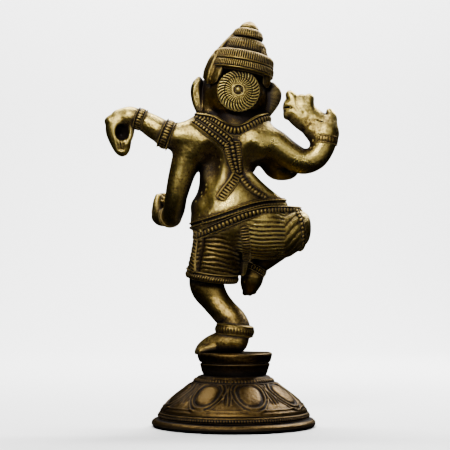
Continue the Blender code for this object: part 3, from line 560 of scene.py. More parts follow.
def build_legs(field):
    hem = (np.array([7.6, -4.2, 54.1]), unit((-0.13, 0.15, 1)))
    field.part("left_dhoti_leg", stack(2, [
        (50, 8.1, -4.8, 8.7, 8.8), (54.4, 7.7, -4.2, 9.3, 9.0), (57, 7.5, -3.7, 9.8, 9.4),
        (60, 7.1, -3.0, 9.6, 9.6), (63, 6.4, -2.4, 9.6, 9.6), (66.7, 5.6, -1.7, 9.5, 9.6),
        (70, 4.8, -1.2, 9.3, 9.8), (74, 3.8, -1.0, 9.0, 9.6)], leg_folds, limit=hem),
        softness=0.8)
    field.groove(0.9, (10.6, 6.6, 71.0, 0.6), (11.6, 6.2, 66.0, 0.9), (12.8, 4.9, 60.0, 0.9),
                 (13.2, 4.0, 55.0, 0.6))
    field.part("right_dhoti_leg", stack(0, [
        (-29.0, -6.0, 72.9, 2.4, 2.7), (-28.2, -6.0, 72.8, 4.6, 4.7),
        (-26.4, -5.9, 72.5, 6.5, 6.5), (-23.8, -5.6, 72.0, 8.0, 8.0),
        (-21.0, -5.0, 71.3, 8.8, 9.0), (-18.0, -4.2, 71.0, 9.2, 9.4),
        (-13.0, -2.8, 70.9, 9.6, 9.8), (-7.0, -1.4, 71.2, 9.4, 9.6),
        (-1.0, -0.8, 72.0, 8.6, 9.0), (3.0, -0.8, 72.0, 7.6, 8.0)], thigh_folds), softness=0.8)
    field.part("right_dhoti_leg", ball((-9.0, 2.0, 76.4), (7.6, 5.2, 5.0)), softness=2.4)
    field.part("right_dhoti_leg", chain([(-3.4, -2.0, 65.0, 3.0), (-3.3, -3.6, 60.0, 2.2),
                                         (-3.2, -4.6, 56.4, 1.5)]), softness=1.0)
    field.part("left_shin", chain([
        (9.8, -5.2, 57.0, 6.5), (9.9, -5.4, 51.4, 6.4), (7.0, -4.4, 46.2, 5.3),
        (3.7, -2.8, 42.0, 5.0), (0.4, -1.4, 38.3, 5.2), (-0.4, -0.4, 35.2, 5.8),
        (-0.4, 0.2, 32.8, 5.4)]), softness=0.5)
    field.part("left_foot", chain([
        (-1.0, 2.4, 30.4, 3.9), (2.0, 1.4, 30.6, 4.7), (5.4, 0.4, 29.9, 4.4),
        (8.4, -0.2, 28.9, 3.9), (10.8, -0.4, 27.8, 3.1), (12.2, -0.5, 27.0, 2.2)]),
        *fingers([(7.2, 3.2, 28.6, 1.7), (10.4, 3.6, 27.8, 1.4), (12.0, 3.6, 27.4, 1.2)],
                 [(8.4, 1.2, 28.8, 1.6), (11.6, 1.4, 27.8, 1.4), (12.9, 1.4, 27.3, 1.2)],
                 [(8.6, -0.8, 28.7, 1.6), (11.8, -0.8, 27.8, 1.3), (12.9, -0.8, 27.3, 1.1)],
                 [(8.2, -2.6, 28.6, 1.5), (11.4, -2.9, 27.8, 1.2), (12.6, -3.0, 27.5, 1.0)],
                 [(7.4, -4.2, 28.4, 1.3), (10.2, -4.7, 27.8, 1.1), (11.2, -4.8, 27.5, 0.9)]),
        softness=1.6)
    field.part("right_shin", chain([
        (-20.5, -8.4, 68.6, 5.2), (-17.0, -10.2, 66.0, 5.0), (-12.6, -11.6, 62.4, 4.5),
        (-9.2, -12.0, 59.4, 4.0), (-7.8, -11.8, 56.8, 3.8)]), softness=0.5)
    field.part("right_foot", chain([
        (-7.4, -11.2, 56.6, 4.2), (-6.9, -11.4, 54.0, 4.3), (-6.3, -12.6, 51.6, 3.5),
        (-5.9, -13.6, 50.0, 2.4)]),
        *fingers([(-8.4, -13.6, 51.4, 1.3), (-7.8, -15.4, 49.2, 1.1)],
                 [(-6.7, -13.8, 51.0, 1.3), (-6.3, -15.6, 48.6, 1.1)],
                 [(-5.0, -13.6, 50.8, 1.4), (-4.5, -15.4, 48.8, 1.2)]), softness=1.2)


def build_field():
    field = Field((-41.0, -26.0, 26.0), (50.0, 14.0, 132.0), CELL)
    build_trunk_of_body(field)
    build_arms(field)
    build_hands(field)
    build_legs(field)
    build_head(field)
    return field


def part_meshes(field):
    """The whole figure's mesh for ray casting, and one mesh for each part."""
    points, quads, labels = field.surface()
    tree = BVHTree.FromPolygons(points.tolist(), quads.tolist())
    corners = points[quads]
    face_normals = np.cross(corners[:, 2] - corners[:, 0], corners[:, 3] - corners[:, 1])
    normals = np.zeros_like(points)
    for i in range(4):
        np.add.at(normals, quads[:, i], face_normals)
    normals = unit(normals)
    meshes = {}
    for label in range(1, len(field.parts)):
        chosen = quads[labels == label]
        used, inverse = np.unique(chosen, return_inverse=True)
        mesh = new_mesh(points[used], inverse.reshape(-1, 4).tolist())
        mesh.normals_split_custom_set_from_vertices(normals[used].tolist())
        meshes[field.parts[label]] = mesh
    return tree, meshes


# ---- straps and turned pieces ----------------------------------------------------------------

def resample(path, step, closed=False):
    """Points at even distances along a path, and the whole path's length."""
    path = np.asarray(path, dtype=float)
    if closed:
        path = np.vstack([path, path[:1]])
    run = np.concatenate([[0], np.cumsum(np.linalg.norm(np.diff(path[:, :3], axis=0), axis=1))])
    count = max(8, int(round(run[-1] / step)))
    at = np.linspace(0, run[-1], count + 1)
    if closed:
        at = at[:-1]
    rows = np.stack([np.interp(at, run, path[:, i]) for i in range(path.shape[1])], axis=1)
    return rows, run[-1]


def average(values, reach, closed):
    """Each row's mean with its neighbours up to reach rows away."""
    if reach < 1:
        return values
    pad = np.pad(values, ((reach, reach), (0, 0)), mode="wrap" if closed else "edge")
    total = sum(pad[i:i + len(values)] for i in range(2 * reach + 1))
    return total / (2 * reach + 1)


def strap(name, course, half_width, relief, closed=False, depth=0.8, slot=PATINATED,
          taper=0.0):
    """A band along a course (path, outward directions) of height relief(along, across, length).

    along is in millimetres, across runs from -1 to 1. half_width is one width or several at even
    places along the path. taper rounds off the band's two ends.
    """
    rows, length = resample(np.hstack(course), FINE, closed)
    points, normals = rows[:, :3], unit(rows[:, 3:])
    if closed:
        tangents = unit(np.roll(points, -1, axis=0) - np.roll(points, 1, axis=0))
    else:
        tangents = unit(np.gradient(points, axis=0))
    normals = unit(normals - tangents * (normals * tangents).sum(axis=1, keepdims=True))
    sides = np.cross(tangents, normals)
    along = np.arange(len(points)) * length / (len(points) if closed else len(points) - 1)
    stops = np.atleast_1d(half_width)
    width = np.interp(along / length, np.linspace(0, 1, len(stops)), stops)
    if taper:
        edge = np.minimum(along, length - along)
        width = width * np.sqrt(np.clip(edge / taper, 0.02, 1))
    u = np.linspace(-1, 1, STRAP_COLUMNS)
    height = relief(along[:, None], u[None, :], length) + 0 * along[:, None]
    top = (points[:, None] + sides[:, None] * (width[:, None] * u)[..., None]
           + normals[:, None] * height[..., None])
    v = np.linspace(STRAP_UNDERSIDE, -STRAP_UNDERSIDE, 4)
    under = (points[:, None] + sides[:, None] * (width[:, None] * v)[..., None]
             - normals[:, None] * depth)
    add_piece(name, grid_mesh(np.concatenate([top, under], axis=1), closed, STRAP_CREASE), slot)


def beads(phase, u, reach, height):
    """Round beads along a line of even spacing. phase counts beads."""
    s = (phase % 1.0) * 2 - 1
    return height * np.sqrt(np.clip(1 - s ** 2 - (u / reach) ** 2, 0, 1))


def paced(s, length, pitch):
    """How many beads or turns s is along, with a whole number of them in length."""
    return s / length * max(1, round(float(length) / pitch))


def ribbon(pitch, bead=0.55, rim=0.42, floor=0.12, rows=1):
    """A band with a ridge along each edge and rows of beads between."""
    def relief(s, u, length):
        phase = paced(s, length, pitch)
        height = floor * (1 - u ** 4) + rim * bell(np.abs(u) - 0.84, 0.17)
        if rows == 1:
            return height + beads(phase, u, 0.62, bead)
        height = height + rim * 0.8 * bell(u, 0.14) + beads(phase, u - 0.44, 0.28, bead)
        return height + beads(phase + 0.5, u + 0.44, 0.28, bead)
    return relief


def cord_relief(pitch, height=0.9):
    """A round beaded cord."""
    def relief(s, u, length):
        phase = paced(s, length, pitch)
        return height * arch(u) * (0.62 + 0.38 * rolls(math.pi * phase, 0.6))
    return relief


def laid_path(tree, hints, facing, steps=3):
    """Where hints (x, z) fall on the metal, seen along facing, and the way out of it there."""
    facing = np.asarray(facing, dtype=float)
    path, out = [], []
    for x, z in smooth_rows([(x, z, 0.0) for x, z in hints], 0.5)[:, :2]:
        start = np.array([x, 0.0, z]) - facing * RAY_START
        place, normal, _, _ = tree.ray_cast(Vector(start), Vector(facing))
        if place is not None:
            path.append(place)
            out.append(-facing if normal.dot(Vector(facing)) > 0 else normal)
    path, out = np.array(path), np.array(out)
    return average(path, steps, False), unit(average(out, steps + 2, False))


def hoop_path(tree, centre, axis, height=None, limit=40.0, steps=4):
    """A closed path round the metal that centre lies in, in the plane square to axis."""
    axis = unit(axis)
    first = unit(np.cross(axis, Y_AXIS if abs(axis[1]) < 0.9 else X_AXIS))
    second = np.cross(axis, first)
    path, out = [], []
    for angle in np.arange(HOOP_RAYS) * 2 * math.pi / HOOP_RAYS:
        direction = first * math.cos(angle) + second * math.sin(angle)
        start = np.asarray(centre, dtype=float)
        if height:
            start = start + Z_AXIS * height(math.atan2(direction[1], direction[0]))
        place, normal, _, distance = tree.ray_cast(Vector(start), Vector(direction))
        if place is None or distance > limit:
            place = start + direction * limit
        path.append(np.array(place))
        out.append(direction)
    path, out = np.array(path), np.array(out)
    return average(path, steps, True), out


def turned(name, slot, profile, around, relief=None, place=None, step=0.25, depth=1.0,
           plain_from=None):
    """Turns a closed profile of (radius, height) about Z, outside first, with fine relief.

    relief(angle, radius, height) is the height added along the profile's outward side. From the
    point plain_from on, where the piece is hidden, its rows are PLAIN_STEPS times as far apart.
    """
    step = max(step, FINE)
    if plain_from:
        seen, _ = resample(profile[:plain_from + 1], step)
        plain, _ = resample(profile[plain_from:] + profile[:1], PLAIN_STEPS * step)
        rows = np.vstack([seen[:-1], plain[:-1]])
    else:
        rows, _ = resample(profile, step, closed=profile[0][0] > 0)
    if profile[0][0] == 0:
        rows = rows[1:-1]
    ahead, behind = np.roll(rows, -1, axis=0), np.roll(rows, 1, axis=0)
    slope = ahead - behind
    outward = unit(np.stack([slope[:, 1], -slope[:, 0]], axis=1))
    angle = np.arange(around) * 2 * math.pi / around
    radius, height = rows[:, :1] + 0 * angle, rows[:, 1:] + 0 * angle
    if relief:
        lift = relief(angle[None, :], radius, height)
        radius = radius + outward[:, :1] * lift
        height = height + outward[:, 1:] * lift
    points = np.stack([radius * np.cos(angle), depth * radius * np.sin(angle), height], axis=-1)
    if place is not None:
        points = moved(points, place)
    add_piece(name, grid_mesh(points, profile[0][0] > 0, TURNED_CREASE), slot)


# ---- base and plinth -------------------------------------------------------------------------

PETALS = 8
PETAL_TURN = math.radians(90 + 16.5)
DOME_TOP = (15.2, 15.9)
DOME_FOOT = (26.4, 7.0)
PLINTH_PLACE = Matrix.Translation((-0.4, 0, 0))


def petal_relief(angle, radius, height):
    """Lotus petals down the dome: a pillow in a raised rim, and darts between neighbours."""
    run = math.dist(DOME_TOP, DOME_FOOT)
    v = (radius - DOME_TOP[0]) * (DOME_FOOT[0] - DOME_TOP[0])
    v = (v + (height - DOME_TOP[1]) * (DOME_FOOT[1] - DOME_TOP[1])) / run
    on_dome = ramp(v, -0.4, 0.8) * ramp(run - v, -0.6, 0.6) * (height > 5.9) * (radius > 13.0)
    turn = 2 * math.pi / PETALS
    away = (angle - PETAL_TURN + turn / 2) % turn - turn / 2
    u = away * radius
    middle = turn / 2 * radius
    half = 6.0 - 0.8 * ramp(v, 7.0, 12.5) - 0.7 * ramp(4.0 - v, 0, 4.0)
    q = ((np.abs(u) / half) ** 2.6 + (np.abs(v - 6.0) / 7.6) ** 2.6) ** (1 / 2.6)
    lift = 0.75 * np.clip(1 - (q / 0.68) ** 5, 0, 1) ** 0.6
    lift = lift + 0.62 * bell(q - 0.87, 0.11) + 0.40 * bell(q - 1.09, 0.09)
    between = middle - np.abs(u)
    dart = 0.55 * bell(between, 0.55) + 0.45 * bell(between - 1.3, 0.45)
    lift = lift + dart * (q > 1.14) * ramp(v, 0.4, 2.0) * ramp(12.2 - v, 0, 3.0)
    lift = lift + 0.3 * bell(v - 13.4, 0.5)
    return lift * on_dome


def build_base():
    profile = [(28.8, 0.0), (29.6, 0.4), (30.0, 1.2), (29.9, 2.0), (29.2, 2.7), (27.9, 3.0),
               (26.7, 3.2), (26.6, 5.3), (27.0, 5.7), (26.7, 6.5), (24.4, 8.8), (21.4, 11.2),
               (18.2, 13.5), (15.2, 15.9), (2.6, 15.9), (2.6, 13.6), (15.0, 13.6), (19.4, 9.6),
               (23.4, 5.4), (25.4, 1.6), (25.6, 0.0)]

    def relief(angle, radius, height):
        uneven = 0.05 * np.sin(3 * angle + 1) + 0.04 * np.sin(7 * angle + 2)
        outside = (radius > 26.0) * (height < 3.1) * ramp(height, 0.2, 1.2)
        return petal_relief(angle, radius, height) + uneven * outside

    turned("lotus_base", AGED, profile, 460, relief, step=0.26, plain_from=13)


def ring_beads(count, centre, reach, height):
    """Beads standing round a turned ring at one height."""
    def relief(angle, radius, level):
        phase = angle / (2 * math.pi) * count
        return beads(phase, (level - centre) / reach, 1.0, height) * (radius > 9)
    return relief


def build_plinth():
    around = 760
    rings = [
        ("lower_bead_ring", [(27.6, 3.1), (27.8, 3.4), (27.4, 3.55), (27.4, 4.75), (27.6, 4.9),
                             (27.3, 5.3), (26.4, 5.4), (26.4, 3.0)],
         ring_beads(168, 4.15, 0.62, 0.5), 0.16),
        ("upper_bead_ring", [(15.3, 15.6), (15.4, 16.1), (14.9, 16.3), (13.6, 17.7), (13.1, 18.3),
                             (12.2, 18.6), (8.0, 18.6), (8.0, 15.6)],
         ring_beads(76, 16.95, 0.62, 0.42), 0.18)]
    for name, profile, relief, step in rings:
        turned(name, AGED, profile, around, relief, step=step, plain_from=5)

    def worn(angle, radius, height):
        wear = 0.10 * np.sin(2 * angle + height) + 0.06 * np.sin(5 * angle + 1.3 * height)
        return wear * (radius > 9) * 0.8
    discs = [
        ("plinth_drum", [(0, 18.2), (11.3, 18.2), (11.6, 18.9), (12.1, 20.2), (12.6, 21.8),
                         (12.9, 22.5), (12.8, 22.9), (12.2, 23.15), (0, 23.15)]),
        ("plinth_cap", [(0, 23.1), (12.3, 23.1), (12.9, 23.3), (13.3, 23.9), (13.6, 25.2),
                        (13.75, 26.1), (13.5, 26.6), (12.8, 26.85), (0, 26.85)])]
    for name, profile in discs:
        turned(name, AGED, profile, 220, worn, PLINTH_PLACE)


# ---- crown and head ornaments ----------------------------------------------------------------

CROWN_FOOT = Vector((-1.9, -0.6, 126.0))
CROWN_TILT = math.radians(-10.6)


def ribs(count, depth, low, high):
    """Fine upright ribs round a turned piece, between two heights."""
    def relief(angle, radius, height):
        between = ramp(height, low, low + 0.4) * ramp(high - height, 0, 0.4)
        return depth * (rolls(angle * count / 2, 0.7) - 0.6) * between * (radius > 2)
    return relief


def build_crown():
    around = 480
    place = Matrix.Translation(CROWN_FOOT) @ Matrix.Rotation(CROWN_TILT, 4, "Y")
    tiers = [
        ("crown_body", [(0, 2.6), (8.6, 2.8), (10.6, 4.0), (11.2, 5.0), (10.8, 8.0), (9.6, 11.4),
                        (0, 11.4)], None),
        ("crown_band_narrow", [(6.0, 4.4), (11.9, 4.4), (12.2, 4.8), (11.8, 5.2), (12.0, 5.5),
                               (11.9, 7.3), (11.5, 7.6), (6.0, 7.6)], ribs(96, 0.42, 5.1, 7.5)),
        ("crown_band_wide", [(6.0, 7.7), (11.4, 7.7), (11.8, 8.2), (11.5, 8.7), (11.3, 10.4),
                             (10.5, 11.6), (9.4, 12.0), (6.0, 12.0)], ribs(84, 0.45, 8.4, 11.4)),
        ("crown_tier_lower", [(0, 11.6), (7.0, 11.6), (8.0, 12.5), (8.1, 13.5), (7.6, 15.2),
                              (6.6, 16.6), (5.4, 17.3), (0, 17.3)], ribs(56, 0.30, 12.6, 16.8)),
        ("crown_tier_upper", [(0, 17.2), (5.0, 17.2), (5.8, 17.9), (5.8, 18.8), (5.1, 20.3),
                              (3.9, 21.3), (0, 21.3)], ribs(42, 0.28, 17.8, 21.0)),
        ("crown_finial", [(0, 21.2), (3.3, 21.2), (3.7, 21.7), (3.2, 22.6), (1.9, 23.7),
                          (0.6, 24.3), (0, 24.4)], None)]
    for name, profile, relief in tiers:
        turned(name, PATINATED, profile, around if relief else 120, relief, place, 0.24,
               depth=0.88)

    def flange(s, u, length):
        return 0.35 * (1 - u ** 4) + 0.95 * bell(u - 0.12, 0.34) * ramp(s, 4.0, 9.0)

    def fold(s, u, length):
        swell = np.sin(math.pi * np.clip(s / length, 0, 1)) ** 0.4
        return swell * (0.9 * (1 - u ** 2) + 0.35 * bell(u + 0.5, 0.3))
    sides = [
        ("crown_flap_left", [(-2.6, 0.6, 147.4), (0.4, 1.2, 143.9), (3.0, 2.6, 140.1),
                             (5.4, 4.4, 136.1), (7.4, 4.6, 131.9), (8.6, 4.2, 128.4),
                             (9.0, 3.4, 125.8)],
         (0.62, 0.78, 0), [0.9, 1.4, 2.4, 3.3, 3.8, 3.9, 3.4], flange),
        ("crown_flap_right", [(-10.9, 3.2, 139.0), (-11.6, 4.2, 135.4), (-12.2, 4.2, 131.4),
                              (-12.4, 3.4, 127.8), (-12.3, 2.4, 124.4)],
         (-0.55, 0.84, 0), [1.2, 1.6, 1.8, 1.8, 1.6], fold)]
    for name, knots, facing, widths, relief in sides:
        path = smooth_rows(knots, 0.4)
        course = path, np.tile(unit(facing), (len(path), 1))
        strap(name, course, widths, relief, depth=2.4, taper=1.6)


ROSETTE_MIDDLE = (-1.7, 8.2, 122.5)
ROSETTE_LEAN = math.radians(-84)
ROSETTE_PETALS = 17


def rosette_relief(radius, angle):
    """Swirling petals from a ring round the boss out to the edge, on a low dome."""
    whirl = 0.16 * np.sin((radius - 2.0) * 0.62)
    petal = rolls(ROSETTE_PETALS * (angle + whirl), 0.7)
    depth = 0.16 + 0.062 * radius
    return (0.9 * (1 - (radius / 7.9) ** 2)
            + depth * (petal - 0.6) * ramp(radius, 2.2, 3.4) * ramp(8.0 - radius, -0.2, 0.9)
            - 0.16 * bell(radius - 5.1, 0.35) + 0.15 * bell(radius - 2.1, 0.45)
            - 0.22 * bell(radius - 1.4, 0.45))


def build_rosette():
    rings = 60
    around = 400
    angle = np.arange(around) * 2 * math.pi / around
    radius = np.concatenate([np.linspace(0.25, 7.7, rings), [7.85, 7.7, 7.2]])[:, None]
    level = np.concatenate([np.zeros(rings), [-0.4, -1.2, -4.0]])[:, None]
    lift = rosette_relief(radius, angle) * (level == 0)
    edge = 0.22 * (rolls(ROSETTE_PETALS * angle) - 0.6) * ramp(radius, 6.8, 7.7)
    far = radius + edge
    points = np.stack([far * np.cos(angle), far * np.sin(angle), level + lift + 0 * angle],
                      axis=-1)
    place = Matrix.Translation(ROSETTE_MIDDLE) @ Matrix.Rotation(ROSETTE_LEAN, 4, "X")
    add_piece("head_rosette", grid_mesh(moved(points, place)[::-1]), POLISHED)
    turned("rosette_boss", POLISHED,
           [(0, 0.6), (0.9, 0.6), (0.95, 1.2), (0.6, 1.6), (0, 1.75)], 60, None, place, 0.12)


# ---- ornaments on the figure -----------------------------------------------------------------

def build_belts(tree):
    course = hoop_path(tree, (0.6, -2.4, 0), Z_AXIS, lambda a: 77.9 - 4.4 * math.cos(a))

    def double_ridge(s, u, length):
        twist = 0.12 * np.sin(2 * math.pi * paced(s, length, 1.2) + 3 * u)
        ridges = 0.75 * bell(u - 0.55, 0.42) + 0.75 * bell(u + 0.5, 0.42)
        return ridges * (1 + twist) + 0.1
    strap("belt_band", course, 1.5, double_ridge, True, 1.2)
    course = hoop_path(tree, (1.6, -1.8, 0), Z_AXIS, lambda a: 74.2 - 5.0 * math.cos(a))
    strap("belt_bead_band", course, 1.7, ribbon(1.5, 0.75, 0.5, 0.15), True, 1.2)


def build_cloth_edges(tree):
    course = hoop_path(tree, (7.6, -4.2, 55.2), (-0.13, 0.15, 1), limit=11.5, steps=5)

    def twisted(s, u, length):
        rope = rolls(math.pi * (paced(s, length, 0.95) + 0.55 * u), 0.7)
        return 0.25 + 0.45 * rope * bell(u - 0.30, 0.75) + 0.5 * bell(u + 0.80, 0.25)
    strap("left_dhoti_hem", course, 1.7, twisted, True, 1.0)
    course = hoop_path(tree, (-23.8, -5.7, 72.0), (-1, -0.22, 0.20), limit=9.5, steps=5)
    strap("right_knee_band", course, 1.15, ribbon(1.5, 0.7, 0.3, 0.15), True, 1.0)
    course = laid_path(tree, [(-3.7, 73.2), (-4.2, 69.0), (-4.7, 65.0), (-4.6, 60.6)],
                          -Y_AXIS)

    def ribbed(s, u, length):
        rib = rolls(math.pi * paced(s, length, 1.05), 0.8)
        return 0.8 * arch(u) * (0.3 + 0.7 * rib)
    strap("centre_pleat", course, 1.7, ribbed, depth=1.6, taper=0.8)
    course = laid_path(tree, [(1.2, 71.4), (1.8, 66.0), (2.8, 60.5), (3.4, 56.5)], Y_AXIS)

    def pleated(s, u, length):
        return 0.7 + 0.5 * rolls(2.5 * math.pi * u) * ramp(s, 0, 2) - 0.3 * u ** 2
    strap("front_sash", course, 3.2, pleated, depth=1.6, slot=POLISHED, taper=0.6)
    side, away = [], []
    for height in np.linspace(72.0, 55.6, 28):
        middle = Vector((6.8 - 0.13 * (height - 55), -3.0, height))
        direction = Vector((-math.cos(math.radians(33)), -math.sin(math.radians(33)), 0))
        place, _, _, _ = tree.ray_cast(middle - 40 * direction, direction)
        if place is not None and place.x > 6:
            side.append(place)
            away.append(-direction)
    side = average(np.array(side), 2, False)

    def slanted(s, u, length):
        rope = rolls(math.pi * (paced(s, length, 1.3) + 0.5 * u), 0.7)
        return 0.35 + 0.6 * rope * (1 - u ** 4)
    strap("left_side_hem", (side, np.array(away)), 1.5, slanted, depth=1.4, taper=0.8)


def build_limb_rings(tree):
    rings = [
        ("rear_left_armlet", (24.6, 2.0, 107.2), (1, 0, 0.42), 2.1, 6.4,
         ribbon(1.1, 0.35, 0.75, 0.35)),
        ("rear_left_bracelet", (34.6, 1.0, 113.0), (1, 0, 0.36), 1.8, 6.4,
         ribbon(1.0, 0.35, 0.6, 0.3)),
        ("front_left_bracelet", (23.8, -9.4, 77.6), (0.30, -1, 0.0), 1.4, 6.4,
         ribbon(1.0, 0.4, 0.5)),
        ("rear_right_bracelet", (-33.8, 2.2, 105.0), (-0.12, 0, 1), 1.6, 4.7,
         ribbon(1.2, 0.22, 0.22, 0.05)),
        ("right_anklet", (-8.0, -11.9, 57.6), (-0.5, -0.1, 1), 1.3, 6.4, ribbon(1.0, 0.4, 0.5))]
    for name, centre, axis, half_width, limit, relief in rings:
        course = hoop_path(tree, centre, axis, limit=limit)
        strap(name, course, half_width, relief, True, 0.8)

    def anklet(s, u, length):
        rib = rolls(math.pi * paced(s, length, 0.95), 0.7)
        swell = 1.35 * arch(u)
        return swell + 0.32 * (rib - 0.5) * bell(u, 0.62) + 0.25 * bell(np.abs(u) - 0.72, 0.16)
    course = hoop_path(tree, (0.0, -0.3, 34.9), (-0.10, 0.0, 1), limit=6.8)
    strap("left_anklet", course, 2.3, anklet, True, 1.0)


def build_garlands(tree):
    course = hoop_path(tree, (-0.8, 0.2, 0), Z_AXIS,
                          lambda a: 107.6 + 5.6 * math.cos(a) ** 2, limit=15.0, steps=3)
    strap("collar_necklace", course, 2.1, ribbon(1.3, 0.85, 0.4, 0.2), True, 1.4)

    def rings(s, u, length):
        """Two side by side cords of fine rings, with beads sunk between them."""
        turn = rolls(math.pi * paced(s, length, 0.95), 0.7)
        cords = arch((np.abs(u) - 0.66) / 0.34)
        return 0.2 + 0.75 * cords * (0.45 + 0.55 * turn) + beads(s / 1.5, u, 0.3, 0.6)

    def ladder(s, u, length):
        """Cross bars between a thin edge and a thick rolled edge."""
        bar = rolls(math.pi * paced(s, length, 1.15), 0.6)
        edges = 0.9 * arch((u - 0.72) / 0.26) + 0.35 * bell(u + 0.86, 0.14)
        return 0.15 + 0.6 * bar * (u < 0.46) * (u > -0.8) + edges
    strands = [
        ("shoulder_garland", [(14.6, 112.6), (10.6, 109.6), (6.8, 106.8), (3.6, 104.4),
                              (1.2, 102.2)],
         3.0, ribbon(1.25, 0.75, 0.5, 0.2, rows=2)),
        ("spine_garland", [(1.0, 104.4), (0.4, 101.0), (-0.2, 97.6), (-0.9, 94.2), (-1.5, 91.6)],
         [3.1, 3.0, 2.8, 2.3, 1.9], rings),
        ("hip_garland_left", [(-1.2, 92.8), (-0.5, 90.6), (1.0, 88.0), (3.2, 85.2), (5.4, 81.8)],
         1.9, ladder),
        ("hip_garland_right", [(-2.2, 92.2), (-3.6, 89.4), (-6.4, 86.4), (-9.6, 84.4),
                               (-12.4, 83.2)],
         1.15, cord_relief(1.35, 1.1))]
    for name, hints, half_width, relief in strands:
        course = laid_path(tree, hints, -Y_AXIS, 5)
        strap(name, course, half_width, relief, depth=1.2, taper=0.6)
    course = laid_path(tree, [(10.6, 106.0), (6.0, 101.0), (0.0, 95.4), (-6.0, 90.0),
                                 (-10.0, 86.0)], Y_AXIS, 5)
    strap("sacred_thread", course, 0.7, cord_relief(0.9, 0.6), depth=0.8, slot=POLISHED)
    course = laid_path(tree, [(3.6, 106.6), (4.4, 104.6), (4.6, 102.4)], Y_AXIS, 1)

    def drop(s, u, length):
        return 0.5 + 0.8 * arch(u) * np.sin(math.pi * s / length) ** 0.5
    strap("pendant", course, 1.7, drop, depth=0.9, slot=POLISHED, taper=2.0)


def build_bowl():
    """A bowl heaped with round sweets."""
    place = Matrix.Translation((26.3, -17.8, 80.6))

    def heap(angle, radius, height):
        balls = rolls(3 * angle + 2.2 * height) * rolls(1.9 * height)
        return 0.5 * balls * ramp(height, 3.5, 4.0) * ramp(radius, 0.4, 1.5)
    turned("sweet_bowl", PATINATED,
           [(0, 0), (2.0, 0), (3.0, 0.8), (3.9, 2.2), (4.2, 3.2), (3.9, 3.5), (3.4, 4.2),
            (2.6, 5.4), (1.4, 6.2), (0, 6.5)], 160, heap, place, 0.16)


# ---- materials -------------------------------------------------------------------------------

def node(tree, kind, **values):
    made = tree.nodes.new(kind)
    for key, value in values.items():
        setattr(made, key, value)
    return made


def feed(tree, made, **values):
    """Links or sets a node's inputs, named with _ for each space."""
    for key, value in values.items():
        socket = made.inputs[key.replace("_", " ")]
        if isinstance(value, bpy.types.NodeSocket):
            tree.links.new(value, socket)
        else:
            socket.default_value = (*value, 1) if isinstance(value, tuple) else value


def curve_ramp(tree, source, stops):
    """Maps a value through grey or coloured stops (position, colour or grey)."""
    made = node(tree, "ShaderNodeValToRGB")
    elements = made.color_ramp.elements
    while len(elements) < len(stops):
        elements.new(0.5)
    for element, (position, colour) in zip(elements, stops):
        element.position = position
        element.color = (*colour, 1) if isinstance(colour, tuple) else (colour, colour, colour, 1)
    feed(tree, made, Fac=source)
    return made.outputs["Color"]


def mix(tree, factor, a, b, blend="MIX"):
    made = node(tree, "ShaderNodeMix", data_type="RGBA", blend_type=blend)
    feed(tree, made, Factor=factor, A=a, B=b)
    return made.outputs["Result"]


def noise(tree, position, scale, detail, roughness=0.55):
    made = node(tree, "ShaderNodeTexNoise")
    feed(tree, made, Scale=scale, Detail=detail, Roughness=roughness, Vector=position)
    return made.outputs["Fac"]


def bump(tree, height, strength, distance):
    made = node(tree, "ShaderNodeBump")
    feed(tree, made, Strength=strength, Distance=distance, Height=height)
    return made


def new_material(name):
    """A material, its node tree and its shader."""
    material = bpy.data.materials.new(name)
    material.use_nodes = True
    tree = material.node_tree
    return material, tree, tree.nodes["Principled BSDF"]


def brass_material(name, polished, worn, patina, reach, polish):
    """Cast brass: bright where it is rubbed, brown on the flats and near black in the hollows."""
    material, tree, shader = new_material(name)
    place = node(tree, "ShaderNodeTexCoord").outputs["Object"]
    hidden = node(tree, "ShaderNodeAmbientOcclusion", samples=12)
    feed(tree, hidden, Distance=reach)
    cloud = noise(tree, place, 70, 5, 0.6)
    speck = noise(tree, place, 900, 4, 0.65)
    fine = noise(tree, place, 5200, 3, 0.6)
    open_air = hidden.outputs["AO"]
    exposure = curve_ramp(tree, open_air, [(0.45, 0.0), (0.75, 0.22), (0.93, 0.62), (1.0, 0.88)])
    exposure = mix(tree, 0.55, exposure, cloud, "LINEAR_LIGHT")
    exposure = mix(tree, 0.44, exposure, speck, "LINEAR_LIGHT")
    depth = curve_ramp(tree, exposure, [(0.28, 0.0), (0.64, 0.26), (1.0, 0.95)])
    worn_edge = curve_ramp(tree, node(tree, "ShaderNodeNewGeometry").outputs["Pointiness"],
                           [(0.50, 0.0), (0.525, 0.35), (0.57, 1.0)])
    in_reach = curve_ramp(tree, open_air, [(0.5, 0.0), (0.85, 1.0)])
    rubbed = mix(tree, 1.0, worn_edge, in_reach, "MULTIPLY")
    metal = mix(tree, depth, worn, polished)
    colour = mix(tree, curve_ramp(tree, depth, [(0.0, 0.0), (0.60, 1.0)]), patina, metal)
    colour = mix(tree, rubbed, colour, polished)
    shine = curve_ramp(tree, depth, [(0.0, 0.62), (0.5, 0.42), (1.0, polish)])
    rough = mix(tree, 0.12, shine, speck, "LINEAR_LIGHT")
    metallic = curve_ramp(tree, depth, [(0.0, 0.4), (0.4, 1.0)])
    coarse = bump(tree, speck, 0.55, 0.00040)
    grain = bump(tree, fine, 0.5, 0.00012)
    feed(tree, grain, Normal=coarse.outputs["Normal"])
    feed(tree, shader, Base_Color=colour, Roughness=rough, Metallic=metallic,
         Normal=grain.outputs["Normal"])
    return material


